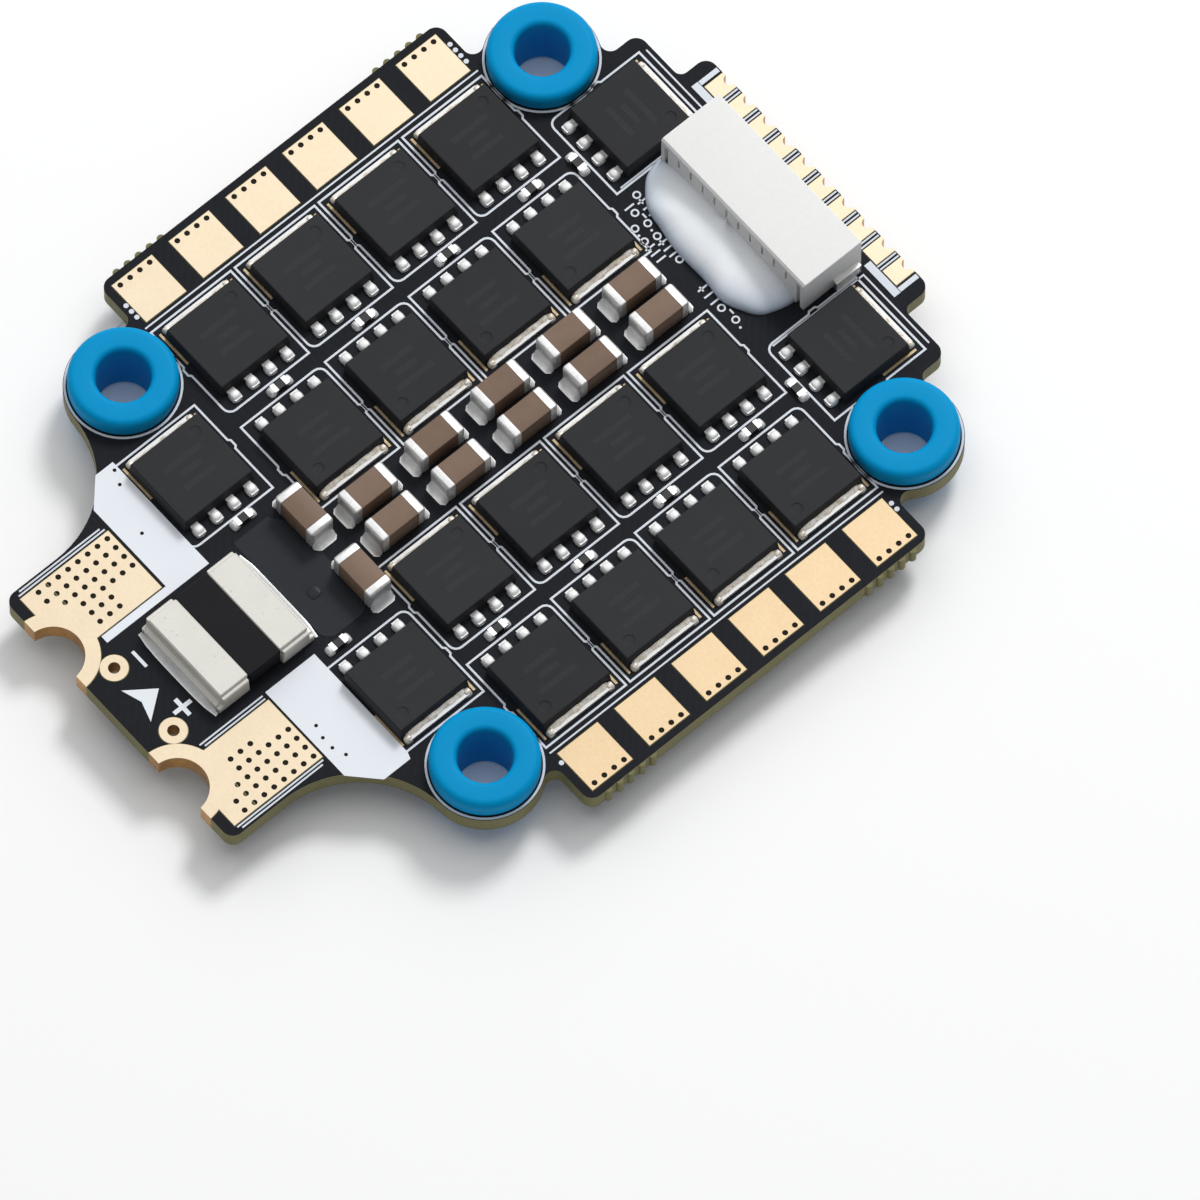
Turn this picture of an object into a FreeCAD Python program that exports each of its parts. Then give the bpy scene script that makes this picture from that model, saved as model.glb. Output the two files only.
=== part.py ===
import FreeCAD, Part
import math
import os

# Four-in-one electronic speed controller board for a small multirotor. Millimetres, +Z up.
# The origin is the centre of the square mounting pattern, in the plane of the grommet feet.
# +Y runs from the battery tab to the signal connector, +X is to the right seen from above.

# ---- mounting pattern and silicone grommets
PATTERN = 30.5                # hole spacing, both ways
BOLT_BORE_R = 1.55            # grommet bore for an M3 screw
BOARD_HOLE_R = 2.0            # hole in the board that the grommet neck sits in
NECK_GAP = 0.05               # radial clearance, neck to board hole
FACE_GAP = 0.03               # axial clearance, flange to board face
HEAD_R = 3.1                  # flange above the board
FOOT_R = 2.6                  # flange below the board, pushed through the hole
FLANGE_EDGE_R = 0.42          # rounding of the flange edges
BORE_EDGE_R = 0.25            # rounding of the bore mouth
FOOT_H = 1.9                  # grommet below the board
HEAD_H = 1.25                 # grommet above the board

# ---- bare board
BOARD_T = 1.2                 # finished thickness, masks included
MASK_T = 0.03                 # solder mask on each face
MASK_GAP = 0.05               # mask opening beyond a bare pad
PLATE_T = 0.05                # plated wall in notches, eyelets and edge half-holes
PAD_RISE = 0.01               # bare pad above the mask
EAR_R = 3.35                  # board round each mounting hole
EAR_FILLET_R = 0.6            # hollow between an ear and the edge beside it
CORNER_R = 0.7                # outer corners
TONGUE_FILLET_R = 0.5         # hollow where the tongue leaves the shoulder
SIDE_SETBACK = 2.9            # side strip ends this far inside the hole line
SIDE_REACH = 5.5              # least distance from the hole line to the side edge
SHOULDER_SETBACK = 2.25       # shoulder side lies this far inside the hole line
SHOULDER_MARGIN = 0.99        # board beyond the corner transistors
TONGUE_HALF = 9.4             # half width of the signal tongue
TONGUE_REACH = 2.0            # tongue beyond the shoulder
TAB_HALF = 9.6                # half width of the battery tab
TAB_REACH = 13.45             # tab beyond the lower hole line
WAIST_R = 6.3                 # hollow between the tab and the lower ears
BREAK_TAB_R = 0.25            # stubs left by the break-off tabs on the side edges
BREAK_TAB_OUT = 0.2           # how far a stub stands out
BREAK_TAB_PITCH = 0.8
BREAK_TAB_COUNT = 5
BREAK_TAB_Y = 9.45            # middle of each row of stubs

# ---- battery tab
NOTCH_X = 5.25                # battery lead notches
NOTCH_R = 1.77
NOTCH_DROP = 0.15             # notch centre beyond the tab end
NOTCH_RING_W = 0.85           # bare copper round a notch
EYELET_X = 2.5                # capacitor lead eyelets
EYELET_INSET = 1.9            # eyelet centre to tab end
EYELET_R = 0.35               # finished hole
EYELET_LAND_TOP_R = 0.8
EYELET_LAND_BOTTOM_R = 1.1
BATTERY_PAD_IN = 4.5
BATTERY_PAD_OUT = 9.05
BATTERY_PAD_L = 6.35
BATTERY_PAD_INSET = 0.7       # pad edge to tab end
VIA_R = 0.165
VIA_PITCH = 0.71
VIA_EDGE = 0.35               # via centre to pad edge
VIA_ROWS = 8
VIA_COLUMNS_MINUS = 6
VIA_COLUMNS_PLUS = 5
VIA_SHORT_ROWS = 3            # rows beside the shunt that end early
VIA_SHORT_COLUMNS = 4         # columns in those rows

# ---- motor pads, three for each motor
MOTOR_PAD_L = 2.95
MOTOR_PAD_W = 2.9
MOTOR_PAD_PITCH = 4.14
MOTOR_PAD_INSET = 0.475       # pad to side edge
MOTOR_PAD_GAP = 0.92          # pad to the outer transistors
MOTOR_VIAS = 4
MOTOR_VIA_EDGE = 0.28

# ---- signal pads on the tongue
SIGNAL_COUNT = 10
SIGNAL_PITCH = 1.665
SIGNAL_W = 1.15
SIGNAL_L = 1.35
SIGNAL_HOLE_R = 0.35

# ---- power transistors
FET_L = 4.85                  # moulded body along the leads
FET_W = 5.0
FET_H = 1.0
FET_DRAFT = 0.08
FET_LEAD_OUT = 0.78
FET_LEAD_IN = 0.35
FET_LEAD_W = 0.5
FET_LEAD_PITCH = 1.27
FET_LEADS = 4
FET_METAL_T = 0.25
FET_DRAIN_OUT = 0.43
FET_DRAIN_W = 4.3
FET_DRAIN_IN = 3.6
FET_ROW_GAP = 1.1             # between rows of transistors
FET_LEAD_GAP = 1.59           # lane of gate resistors between facing leads
FET_SPINE_GAP = 0.74          # transistor to bulk capacitor
CORNER_LANE = 1.6             # lane between the grid and the corner transistors
CORNER_FET_X = 9.15

# ---- chip parts: length, width, height, end band
BULK_CAP = (3.2, 1.6, 1.6, 0.52)
INPUT_CAP = (3.2, 2.0, 1.6, 0.55)
LARGE_CAP = (2.0, 1.25, 1.2, 0.45)
MEDIUM_CAP = (1.55, 0.85, 0.8, 0.3)
SMALL_CHIP = (1.05, 0.52, 0.36, 0.27)
SMALL_DIODE = (1.35, 0.6, 0.45, 0.25)
CHIP_INSET = 0.02             # chip body inside its end bands
BULK_CAP_EDGE_R = 0.12        # rounding of the large end bands
BULK_CAP_GAP = 0.66           # between the two capacitor columns
BULK_CAP_PITCH = 4.8
BULK_CAP_ROWS = 5
TAB_CAP_X = 2.45              # two bulk capacitors beside the shunt
TAB_CAP_Y = -13.08

# ---- current shunt
SHUNT_W = 6.6
SHUNT_L = 7.0
SHUNT_H = 1.5
SHUNT_ELEMENT_L = 2.3
SHUNT_FOOT = 0.3              # the element's height above the board
SHUNT_END_DROP = 0.35         # terminals lower than the element
SHUNT_X = 0.1
SHUNT_Y = -20.8

# ---- signal connector, side entry
CONN_PINS = 10
CONN_PITCH = 1.0
CONN_W = 12.0
CONN_D = 4.25
CONN_H = 2.95
CONN_WALL = 0.45
CONN_CAVITY_D = 3.3
CONN_X = -0.15
CONN_SETBACK = 2.1            # middle of the housing to the shoulder edge
CONN_BACK_CHAMFER = 0.15
CONN_SLOT_W = 0.16            # slots in the rear wall, one behind each contact
CONN_SLOT_D = 0.4
CONN_NOTCH_W = 0.3            # notch beside each rear corner post
CONN_POST_W = 0.3
CONTACT_W = 0.3
CONTACT_T = 0.2
CONTACT_TAIL = 0.95
CONTACT_INSET = 0.3           # rear wall to the contact's downward run
CONTACT_SETBACK = 1.0         # contact tip inside the mouth
HOLD_W = 0.35
HOLD_L = 1.8
HOLD_H = 0.9
HOLD_SETBACK = 0.3            # lug to the mouth's plane
GLUE_REACH = 2.95
GLUE_HALF = 5.8
GLUE_H = 1.6
GLUE_OFFSET = 0.45            # middle of the bead, left of the housing's

# ---- control chips under the board: body, height, lead count on a side
MCU = (5.0, 0.85, 8)
DRIVER = (4.0, 0.8, 6)
QUAD_PITCH = 0.5
QUAD_LAND_W = 0.26
QUAD_LAND_OUT = 0.3
QUAD_LAND_IN = 0.35
QUAD_LAND_T = 0.18

# ---- small outline chips: body length, body width, height, leads on a side
SOT_BODY = (2.9, 1.5, 1.05, 3)
SOT_PITCH = 0.95
SOT_REACH = 0.65
SOT_LEAD_W = 0.4
SOT_LEAD_T = 0.15
SOT_STANDOFF = 0.05           # moulded body above the board

# ---- inductor and power diode
COIL_W = 4.1
COIL_H = 1.78
COIL_CORNER_R = 0.55
COIL_LAND_OUT = 0.35
COIL_LAND_W = 2.6
COIL_LAND_L = 1.4
COIL_LAND_T = 0.2
DIODE_H = 0.95
DIODE_END_L = 0.42
DIODE_END_SHARE = 0.8         # end width as a share of the body's
TEST_POINT_R = 0.62

TOLERANCE = 1e-6              # for telling whether two places or sizes are the same

# ---- worked out from the sizes above
HOLE = PATTERN / 2.0
Z_UNDER = FOOT_H
Z_TOP = FOOT_H + BOARD_T
BULK_CAP_X = (BULK_CAP_GAP + BULK_CAP[1]) / 2.0
FET_DRAIN_SIDE = FET_L / 2.0 + FET_DRAIN_OUT
FET_LEAD_SIDE = FET_L / 2.0 + FET_LEAD_OUT
COLUMN_IN = BULK_CAP_X + BULK_CAP[1] / 2.0 + FET_SPINE_GAP + FET_DRAIN_SIDE
COLUMN_OUT = COLUMN_IN + 2.0 * FET_LEAD_SIDE + FET_LEAD_GAP
ROW_IN = (FET_W + FET_ROW_GAP) / 2.0
ROW_OUT = 3.0 * ROW_IN
SIDE_HALF = max(COLUMN_OUT + FET_DRAIN_SIDE + MOTOR_PAD_GAP + MOTOR_PAD_L + MOTOR_PAD_INSET,
                HOLE + SIDE_REACH)
SIDE_END = HOLE - SIDE_SETBACK
CORNER_FET_Y = ROW_OUT + FET_W / 2.0 + CORNER_LANE + FET_LEAD_SIDE
SHOULDER_X = HOLE - SHOULDER_SETBACK
SHOULDER_Y = max(CORNER_FET_Y + FET_DRAIN_SIDE + SHOULDER_MARGIN,
                 HOLE + EAR_R + EAR_FILLET_R + CORNER_R)
TONGUE_Y = SHOULDER_Y + TONGUE_REACH
TAB_Y = -HOLE - TAB_REACH
NOTCH_Y = TAB_Y - NOTCH_DROP
EYELET_Y = TAB_Y + EYELET_INSET
MOTOR_PAD_X = SIDE_HALF - MOTOR_PAD_INSET - MOTOR_PAD_L / 2.0
CONN_Y = SHOULDER_Y - CONN_SETBACK

# ---- what stands where: x, y and turn in degrees, the turn giving where leads point
MOTORS = {1: (1, -1), 2: (1, 1), 3: (-1, -1), 4: (-1, 1)}
TOP_CORNER_FETS = {1: (8.7, -15.3, 180), 2: (CORNER_FET_X, CORNER_FET_Y, -90),
                   3: (-8.6, -16.0, 0), 4: (-CORNER_FET_X, CORNER_FET_Y, -90)}
UNDER_FETS = {1: (9.3, -16.6, 90), 2: (8.6, 16.95, 0), 3: (-9.1, -16.5, 90), 4: (-7.8, 16.95, 180)}
MCU_PLACES = {1: (4.85, -5.55, 0), 2: (4.85, 6.8, 0), 3: (-4.75, -6.95, 0), 4: (-4.75, 5.35, 0)}
DRIVER_PLACES = {1: (13.6, -5.5, 0), 2: (13.6, 6.8, 0), 3: (-13.35, -6.9, 0), 4: (-13.35, 5.4, 0)}
GATE_LANE = (COLUMN_IN + COLUMN_OUT) / 2.0
GATE_RESISTORS_UPRIGHT = [(-GATE_LANE, 9.5), (-GATE_LANE, 3.4), (-GATE_LANE, -2.6), (-GATE_LANE, -8.8),
                          (GATE_LANE, 9.1), (GATE_LANE, 2.9), (GATE_LANE, -3.1), (GATE_LANE, -9.4),
                          (-4.7, -15.6), (4.5, -16.6)]
GATE_RESISTORS_FLAT = [(-9.05, 12.5), (9.3, 12.6)]
TEST_POINTS = [(-0.65, 7.9), (-0.7, 6.5), (-0.7, 5.05), (0.95, 6.5), (0.95, 5.0), (0.95, 3.5),
               (-4.0, 9.3), (-0.5, -2.35), (-0.5, -3.8), (-0.7, -5.3), (1.0, -5.5), (0.95, -7.0),
               (0.95, -8.5), (-3.5, -24.3)]
REGULATOR = (2.35, -22.45, 90)
CURRENT_AMPLIFIER = (3.8, -12.2, 0)
LOGIC_CHIPS = [(-2.1, 12.2, 0), (-0.1, 17.3, 0)]
INDUCTOR = (0.15, -15.85)
POWER_DIODES = [(-2.9, -20.0, 0, 3.6, 1.75), (-0.8, -24.75, 0, 2.6, 1.25),
                (1.0, -10.85, 90, 2.6, 1.2), (-0.9, 19.95, 0, 2.4, 1.05), (-3.2, 17.15, 90, 2.7, 1.5)]
INPUT_CAP_PLACES = [(-3.9, -22.35, 0)]
LARGE_CAP_PLACES = [(-4.0, -17.9, 0), (4.1, 18.1, 90)]
MEDIUM_CAPS_FLAT = [(16.1, 10.2), (11.4, 10.2), (18.75, 4.35), (16.2, -2.25), (11.6, -1.7),
                    (15.7, -11.45), (-14.2, 10.25), (-18.2, 8.6), (3.6, -9.8), (1.4, -20.05),
                    (-11.9, 1.2), (-11.1, -11.0), (-14.45, -11.5), (-17.0, -10.65), (-2.4, 14.35)]
MEDIUM_CAPS_UPRIGHT = [(18.3, 6.8), (18.2, -5.5), (-18.15, 10.85), (-18.75, -8.9)]
SMALL_CAPS_FLAT = [(1.1, 10.2), (1.2, 11.5), (-1.85, 9.4), (-1.75, 1.25), (1.35, -1.7), (3.9, -16.45),
                   (3.0, -24.8), (-3.65, -16.3)]
SMALL_CAPS_UPRIGHT = [(5.5, 12.35), (-8.6, 7.95), (8.8, 4.1), (8.8, -8.55), (4.8, 0.2), (3.55, 0.2),
                      (-2.2, -0.65), (-5.85, -0.65), (-8.4, -4.4), (-0.55, -9.5), (-0.5, -11.9),
                      (-3.05, -11.9), (-4.25, -11.9), (4.9, -24.3), (-4.75, 12.1), (-6.2, 12.3)]
RESISTORS_FLAT = [(18.6, 8.75), (10.5, 13.4), (8.55, 11.8), (7.75, 10.5), (3.5, 15.45), (-10.6, 8.4),
                  (-18.25, 7.05), (18.65, 2.9), (11.3, 0.8), (10.65, 3.35), (8.65, -1.85), (18.6, -3.3),
                  (18.6, -8.3), (18.6, -9.5), (10.5, -9.1), (8.15, -11.75), (11.75, -12.5), (-18.25, 0.65),
                  (-17.05, -0.8), (-18.25, -6.9), (-10.35, 0.0), (-8.0, 0.15), (-8.0, -1.15), (-7.95, 1.3),
                  (-9.4, 2.95), (-6.15, -12.35), (-3.5, -13.85), (-3.55, -15.1), (4.2, -15.05)]
RESISTORS_UPRIGHT = [(19.2, 10.75), (18.0, 10.75), (12.35, 11.95), (6.7, 12.35), (4.3, 12.35), (3.0, 12.35),
                     (9.4, 8.8), (0.95, 8.9), (2.55, 17.9), (-11.9, 18.7), (-8.5, 12.3), (-10.6, 12.3),
                     (-17.6, 5.2), (-18.9, 5.2), (-17.6, 2.65), (-18.9, 2.65), (-15.2, 1.35), (-16.3, 1.35),
                     (-14.0, 0.2), (-15.2, -1.2), (-18.9, -1.4), (-16.5, -2.55), (-17.6, -2.55),
                     (-17.6, -5.0), (-18.9, -5.0), (-12.4, -1.0), (-0.6, 3.15), (-3.4, -0.65), (-4.6, -0.65),
                     (-10.2, -4.45), (-0.6, -7.0), (-9.2, -9.1), (-8.2, -11.8), (-1.8, -11.9),
                     (15.6, 1.3), (14.3, 1.0), (13.0, 1.0), (19.3, 1.0), (18.1, 1.0), (8.5, 0.2), (7.2, 0.2),
                     (6.0, 0.2), (2.25, 0.2), (19.3, -1.4), (18.0, -1.4), (9.6, -3.6), (0.95, -3.5),
                     (16.6, -9.55), (15.4, -9.55), (19.2, -11.3), (17.9, -11.3), (5.65, -17.1),
                     (-5.6, -15.2), (4.9, -21.6), (-0.75, -22.7), (-5.55, -17.9)]
SMALL_DIODES_FLAT = [(15.9, 11.4), (-14.35, 11.55), (16.1, -1.1), (-17.55, -12.2)]
SMALL_DIODES_UPRIGHT = [(19.45, 6.75), (-16.15, 10.85), (-17.05, 10.85), (16.85, 2.2), (19.4, -5.6),
                        (-16.65, -8.9), (-17.65, -8.75), (14.1, -9.55)]


# ---- plain shapes

def vec(x, y, z=0.0):
    """Point or direction."""
    return FreeCAD.Vector(x, y, z)


def slab(x0, x1, y0, y1, z0, z1):
    """Box between two corners."""
    return Part.makeBox(x1 - x0, y1 - y0, z1 - z0, vec(x0, y0, z0))


def block(x, y, length, width, z0, z1):
    """Box centred on x, y."""
    return slab(x - length / 2.0, x + length / 2.0, y - width / 2.0, y + width / 2.0, z0, z1)


def disc(x, y, radius, z0, z1):
    """Upright cylinder."""
    return Part.makeCylinder(radius, z1 - z0, vec(x, y, z0))


def fuse(shapes):
    """One shape from several, with the seams between coplanar faces removed."""
    first = shapes[0]
    if len(shapes) == 1:
        return first
    return first.multiFuse(shapes[1:]).removeSplitter()


def moulded(length, width, z0, z1, draft):
    """Moulded body whose sides lean in by the draft from bottom to top."""
    rings = []
    for z, inset in ((z0, 0.0), (z1, draft)):
        hx = length / 2.0 - inset
        hy = width / 2.0 - inset
        corners = [vec(-hx, -hy, z), vec(hx, -hy, z), vec(hx, hy, z), vec(-hx, hy, z), vec(-hx, -hy, z)]
        rings.append(Part.makePolygon(corners))
    return Part.makeLoft(rings, True)


def on_top(shape, place):
    """Stand a shape drawn at z = 0 on the board's upper face."""
    x, y, turn = place
    made = shape.copy()
    made.rotate(vec(0, 0), vec(0, 0, 1), turn)
    made.translate(vec(x, y, Z_TOP))
    return made


def underneath(shape, place):
    """Hang a shape drawn at z = 0 from the board's lower face."""
    x, y, turn = place
    made = shape.copy()
    made.rotate(vec(0, 0), vec(1, 0, 0), 180)
    made.rotate(vec(0, 0), vec(0, 0, 1), turn)
    made.translate(vec(x, y, Z_UNDER))
    return made


def write(name, shapes):
    """Write one node, its solids kept apart."""
    solids = []
    for shape in shapes:
        solids.extend(shape.Solids)
    Part.makeCompound(solids).exportStep("parts/" + name + ".step")


# ---- board outline

class Pen:
    """Draws an outline of straight runs and arcs that meet end to end."""

    def __init__(self, x, y):
        self.start = vec(x, y)
        self.at = self.start
        self.edges = []

    def line(self, end):
        """Straight run to a point, unless the pen is there already."""
        if (end - self.at).Length > TOLERANCE:
            self.edges.append(Part.LineSegment(self.at, end).toShape())
        self.at = end

    def arc(self, x, y, radius, from_deg, to_deg):
        """Arc about a centre, reached by a straight run where one is needed."""
        ends = []
        for deg in (from_deg, (from_deg + to_deg) / 2.0, to_deg):
            turn = math.radians(deg)
            ends.append(vec(x + radius * math.cos(turn), y + radius * math.sin(turn)))
        self.line(ends[0])
        self.edges.append(Part.Arc(ends[0], ends[1], ends[2]).toShape())
        self.at = ends[2]

    def close(self):
        """Face inside the outline."""
        self.line(self.start)
        return Part.Face(Part.Wire(self.edges))


def half_outline():
    """Right half of the board's plan, from the tab end round to the tongue."""
    waist_x = TAB_HALF + WAIST_R
    waist_y = -HOLE - math.sqrt((WAIST_R + EAR_R) ** 2 - (HOLE - waist_x) ** 2)
    waist_deg = math.degrees(math.atan2(-HOLE - waist_y, HOLE - waist_x))
    strip_dy = SIDE_SETBACK - EAR_FILLET_R
    strip_dx = math.sqrt((EAR_R + EAR_FILLET_R) ** 2 - strip_dy ** 2)
    strip_deg = math.degrees(math.atan2(strip_dy, strip_dx))
    crown_dx = SHOULDER_SETBACK - EAR_FILLET_R
    crown_dy = math.sqrt((EAR_R + EAR_FILLET_R) ** 2 - crown_dx ** 2)
    crown_deg = math.degrees(math.atan2(crown_dy, -crown_dx))
    pen = Pen(0, TAB_Y)
    pen.arc(TAB_HALF - CORNER_R, TAB_Y + CORNER_R, CORNER_R, -90, 0)
    pen.arc(waist_x, waist_y, WAIST_R, 180, waist_deg)
    pen.arc(HOLE, -HOLE, EAR_R, waist_deg - 180, strip_deg)
    pen.arc(HOLE + strip_dx, -SIDE_END - EAR_FILLET_R, EAR_FILLET_R, strip_deg + 180, 90)
    pen.arc(SIDE_HALF - CORNER_R, -SIDE_END + CORNER_R, CORNER_R, -90, 0)
    pen.arc(SIDE_HALF - CORNER_R, SIDE_END - CORNER_R, CORNER_R, 0, 90)
    pen.arc(HOLE + strip_dx, SIDE_END + EAR_FILLET_R, EAR_FILLET_R, -90, -strip_deg - 180)
    pen.arc(HOLE, HOLE, EAR_R, -strip_deg, crown_deg)
    pen.arc(SHOULDER_X + EAR_FILLET_R, HOLE + crown_dy, EAR_FILLET_R, crown_deg - 180, -180)
    pen.arc(SHOULDER_X - CORNER_R, SHOULDER_Y - CORNER_R, CORNER_R, 0, 90)
    pen.arc(TONGUE_HALF + TONGUE_FILLET_R, SHOULDER_Y + TONGUE_FILLET_R, TONGUE_FILLET_R, -90, -180)
    pen.arc(TONGUE_HALF - CORNER_R, TONGUE_Y - CORNER_R, CORNER_R, 0, 90)
    pen.line(vec(0, TONGUE_Y))
    return pen.close()


def outline_plate(z0, z1):
    """The whole plan as a plate between two heights."""
    face = half_outline()
    face.translate(vec(0, 0, z0))
    right = face.extrude(vec(0, 0, z1 - z0))
    left = right.mirror(vec(0, 0), vec(1, 0, 0))
    return fuse([right, left])


def hole_centres():
    """Mounting holes: name and centre."""
    return {"front_left": (-HOLE, HOLE), "front_right": (HOLE, HOLE),
            "rear_left": (-HOLE, -HOLE), "rear_right": (HOLE, -HOLE)}


def signal_xs():
    """Middle of each signal pad."""
    first = -SIGNAL_PITCH * (SIGNAL_COUNT - 1) / 2.0
    return [first + SIGNAL_PITCH * i for i in range(SIGNAL_COUNT)]


def wall_cutters(plating, z0, z1):
    """Every opening through the board, larger by the plating where it is plated."""
    cutters = [disc(x, y, BOARD_HOLE_R, z0, z1) for x, y in hole_centres().values()]
    for side in (-1, 1):
        cutters.append(disc(side * NOTCH_X, NOTCH_Y, NOTCH_R + plating, z0, z1))
        cutters.append(disc(side * EYELET_X, EYELET_Y, EYELET_R + plating, z0, z1))
    for x in signal_xs():
        cutters.append(disc(x, TONGUE_Y, SIGNAL_HOLE_R + plating, z0, z1))
    return cutters


def break_tabs(z0, z1):
    """Stubs of the break-off tabs, a row near each end of both side edges."""
    stubs = []
    for side in (-1, 1):
        for end in (-1, 1):
            for i in range(BREAK_TAB_COUNT):
                y = end * BREAK_TAB_Y + (i - (BREAK_TAB_COUNT - 1) / 2.0) * BREAK_TAB_PITCH
                x = side * (SIDE_HALF + BREAK_TAB_OUT - BREAK_TAB_R)
                stubs.append(disc(x, y, BREAK_TAB_R, z0, z1))
    return stubs


def board_laminate():
    """Glass and epoxy board with its holes, notches and half-holes."""
    z0 = Z_UNDER + MASK_T
    z1 = Z_TOP - MASK_T
    plate = fuse([outline_plate(z0, z1)] + break_tabs(z0, z1))
    return plate.cut(Part.makeCompound(wall_cutters(PLATE_T, z0, z1)))


# ---- bare pads

def battery_lands(side, grow, z0, z1, upper):
    """Plan of one battery land: ring, eyelet land and, on the upper face, the soldering field."""
    eyelet_r = EYELET_LAND_TOP_R if upper else EYELET_LAND_BOTTOM_R
    lands = [disc(side * NOTCH_X, NOTCH_Y, NOTCH_R + NOTCH_RING_W + grow, z0, z1),
             disc(side * EYELET_X, EYELET_Y, eyelet_r + grow, z0, z1)]
    if upper:
        middle = side * (BATTERY_PAD_IN + BATTERY_PAD_OUT) / 2.0
        width = BATTERY_PAD_OUT - BATTERY_PAD_IN + 2.0 * grow
        pad_y = TAB_Y + BATTERY_PAD_INSET + BATTERY_PAD_L / 2.0
        lands.append(block(middle, pad_y, width, BATTERY_PAD_L + 2.0 * grow, z0, z1))
    return fuse(lands)


def battery_vias(side, columns):
    """Stitching holes of a battery pad, kept clear of the notch ring."""
    holes = []
    clear = NOTCH_R + NOTCH_RING_W + VIA_EDGE
    top_y = TAB_Y + BATTERY_PAD_INSET + BATTERY_PAD_L - VIA_EDGE
    for row in range(VIA_ROWS):
        for column in range(columns):
            x = BATTERY_PAD_OUT - VIA_EDGE - column * VIA_PITCH
            y = top_y - row * VIA_PITCH
            by_shunt = row < VIA_SHORT_ROWS and column >= VIA_SHORT_COLUMNS
            if not by_shunt and math.hypot(x - NOTCH_X, y - NOTCH_Y) > clear:
                holes.append(disc(side * x, y, VIA_R, Z_TOP - MASK_T, Z_TOP + PAD_RISE))
    return Part.makeCompound(holes)


def battery_pad(side, columns):
    """Plated copper of one battery lead: both faces, the notch wall and the eyelet."""
    z0 = Z_UNDER - PAD_RISE
    z1 = Z_TOP + PAD_RISE
    wall = disc(side * NOTCH_X, NOTCH_Y, NOTCH_R + PLATE_T, z0, z1)
    tube = disc(side * EYELET_X, EYELET_Y, EYELET_R + PLATE_T, z0, z1)
    copper = fuse([battery_lands(side, 0.0, Z_TOP - MASK_T, z1, True),
                   battery_lands(side, 0.0, z0, Z_UNDER + MASK_T, False), wall, tube])
    copper = copper.cut(Part.makeCompound(wall_cutters(0.0, z0, z1)))
    copper = copper.common(slab(-SIDE_HALF, SIDE_HALF, TAB_Y, 0, z0, z1))
    return copper.cut(battery_vias(side, columns))


def motor_pad_places(motor):
    """The three pads of one motor: x and y of each."""
    side, end = MOTORS[motor]
    return [(side * MOTOR_PAD_X, end * MOTOR_PAD_PITCH * (i + 0.5)) for i in range(3)]


def motor_pads(motor):
    """Soldering pads of one motor, each with a row of stitching holes by the board edge."""
    side = MOTORS[motor][0]
    pads = []
    for x, y in motor_pad_places(motor):
        pad = block(x, y, MOTOR_PAD_L, MOTOR_PAD_W, Z_TOP - MASK_T, Z_TOP + PAD_RISE)
        via_x = x + side * (MOTOR_PAD_L / 2.0 - MOTOR_VIA_EDGE)
        holes = []
        for i in range(MOTOR_VIAS):
            via_y = y + (i - (MOTOR_VIAS - 1) / 2.0) * VIA_PITCH
            holes.append(disc(via_x, via_y, VIA_R, Z_TOP - MASK_T, Z_TOP + PAD_RISE))
        pads.append(pad.cut(Part.makeCompound(holes)))
    return pads


def signal_pad(x, grow, z0, z1):
    """Plan of one signal pad, open to the tongue's edge."""
    return slab(x - SIGNAL_W / 2.0 - grow, x + SIGNAL_W / 2.0 + grow,
                TONGUE_Y - SIGNAL_L - grow, TONGUE_Y, z0, z1)


def signal_pads():
    """Edge pads on both faces, joined by the plated half-holes."""
    z0 = Z_UNDER - PAD_RISE
    z1 = Z_TOP + PAD_RISE
    pads = []
    for x in signal_xs():
        wall = disc(x, TONGUE_Y, SIGNAL_HOLE_R + PLATE_T, z0, z1)
        wall = wall.common(slab(x - SIGNAL_W, x + SIGNAL_W, TONGUE_Y - SIGNAL_L, TONGUE_Y, z0, z1))
        whole = fuse([signal_pad(x, 0.0, Z_TOP - MASK_T, z1),
                      signal_pad(x, 0.0, z0, Z_UNDER + MASK_T), wall])
        pads.append(whole.cut(disc(x, TONGUE_Y, SIGNAL_HOLE_R, z0, z1)))
    return pads


def test_points():
    """Round probe pads under the board."""
    return [disc(x, y, TEST_POINT_R, Z_UNDER - PAD_RISE, Z_UNDER + MASK_T) for x, y in TEST_POINTS]


def solder_mask(upper):
    """Solder mask of one face, open round every bare pad."""
    z0 = Z_TOP - MASK_T if upper else Z_UNDER
    z1 = z0 + MASK_T
    openings = wall_cutters(PLATE_T + MASK_GAP, z0, z1)
    for side in (-1, 1):
        openings.append(battery_lands(side, MASK_GAP, z0, z1, upper))
    for x in signal_xs():
        openings.append(signal_pad(x, MASK_GAP, z0, z1))
    if upper:
        for motor in MOTORS:
            for x, y in motor_pad_places(motor):
                openings.append(block(x, y, MOTOR_PAD_L + 2 * MASK_GAP, MOTOR_PAD_W + 2 * MASK_GAP, z0, z1))
    else:
        for x, y in TEST_POINTS:
            openings.append(disc(x, y, TEST_POINT_R + MASK_GAP, z0, z1))
    return outline_plate(z0, z1).cut(Part.makeCompound(openings))


# ---- grommets

def circles(shape, radius):
    """Round edges of a shape that have a given radius."""
    return [edge for edge in shape.Edges
            if edge.Curve.TypeId == "Part::GeomCircle" and abs(edge.Curve.Radius - radius) < TOLERANCE]


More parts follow.
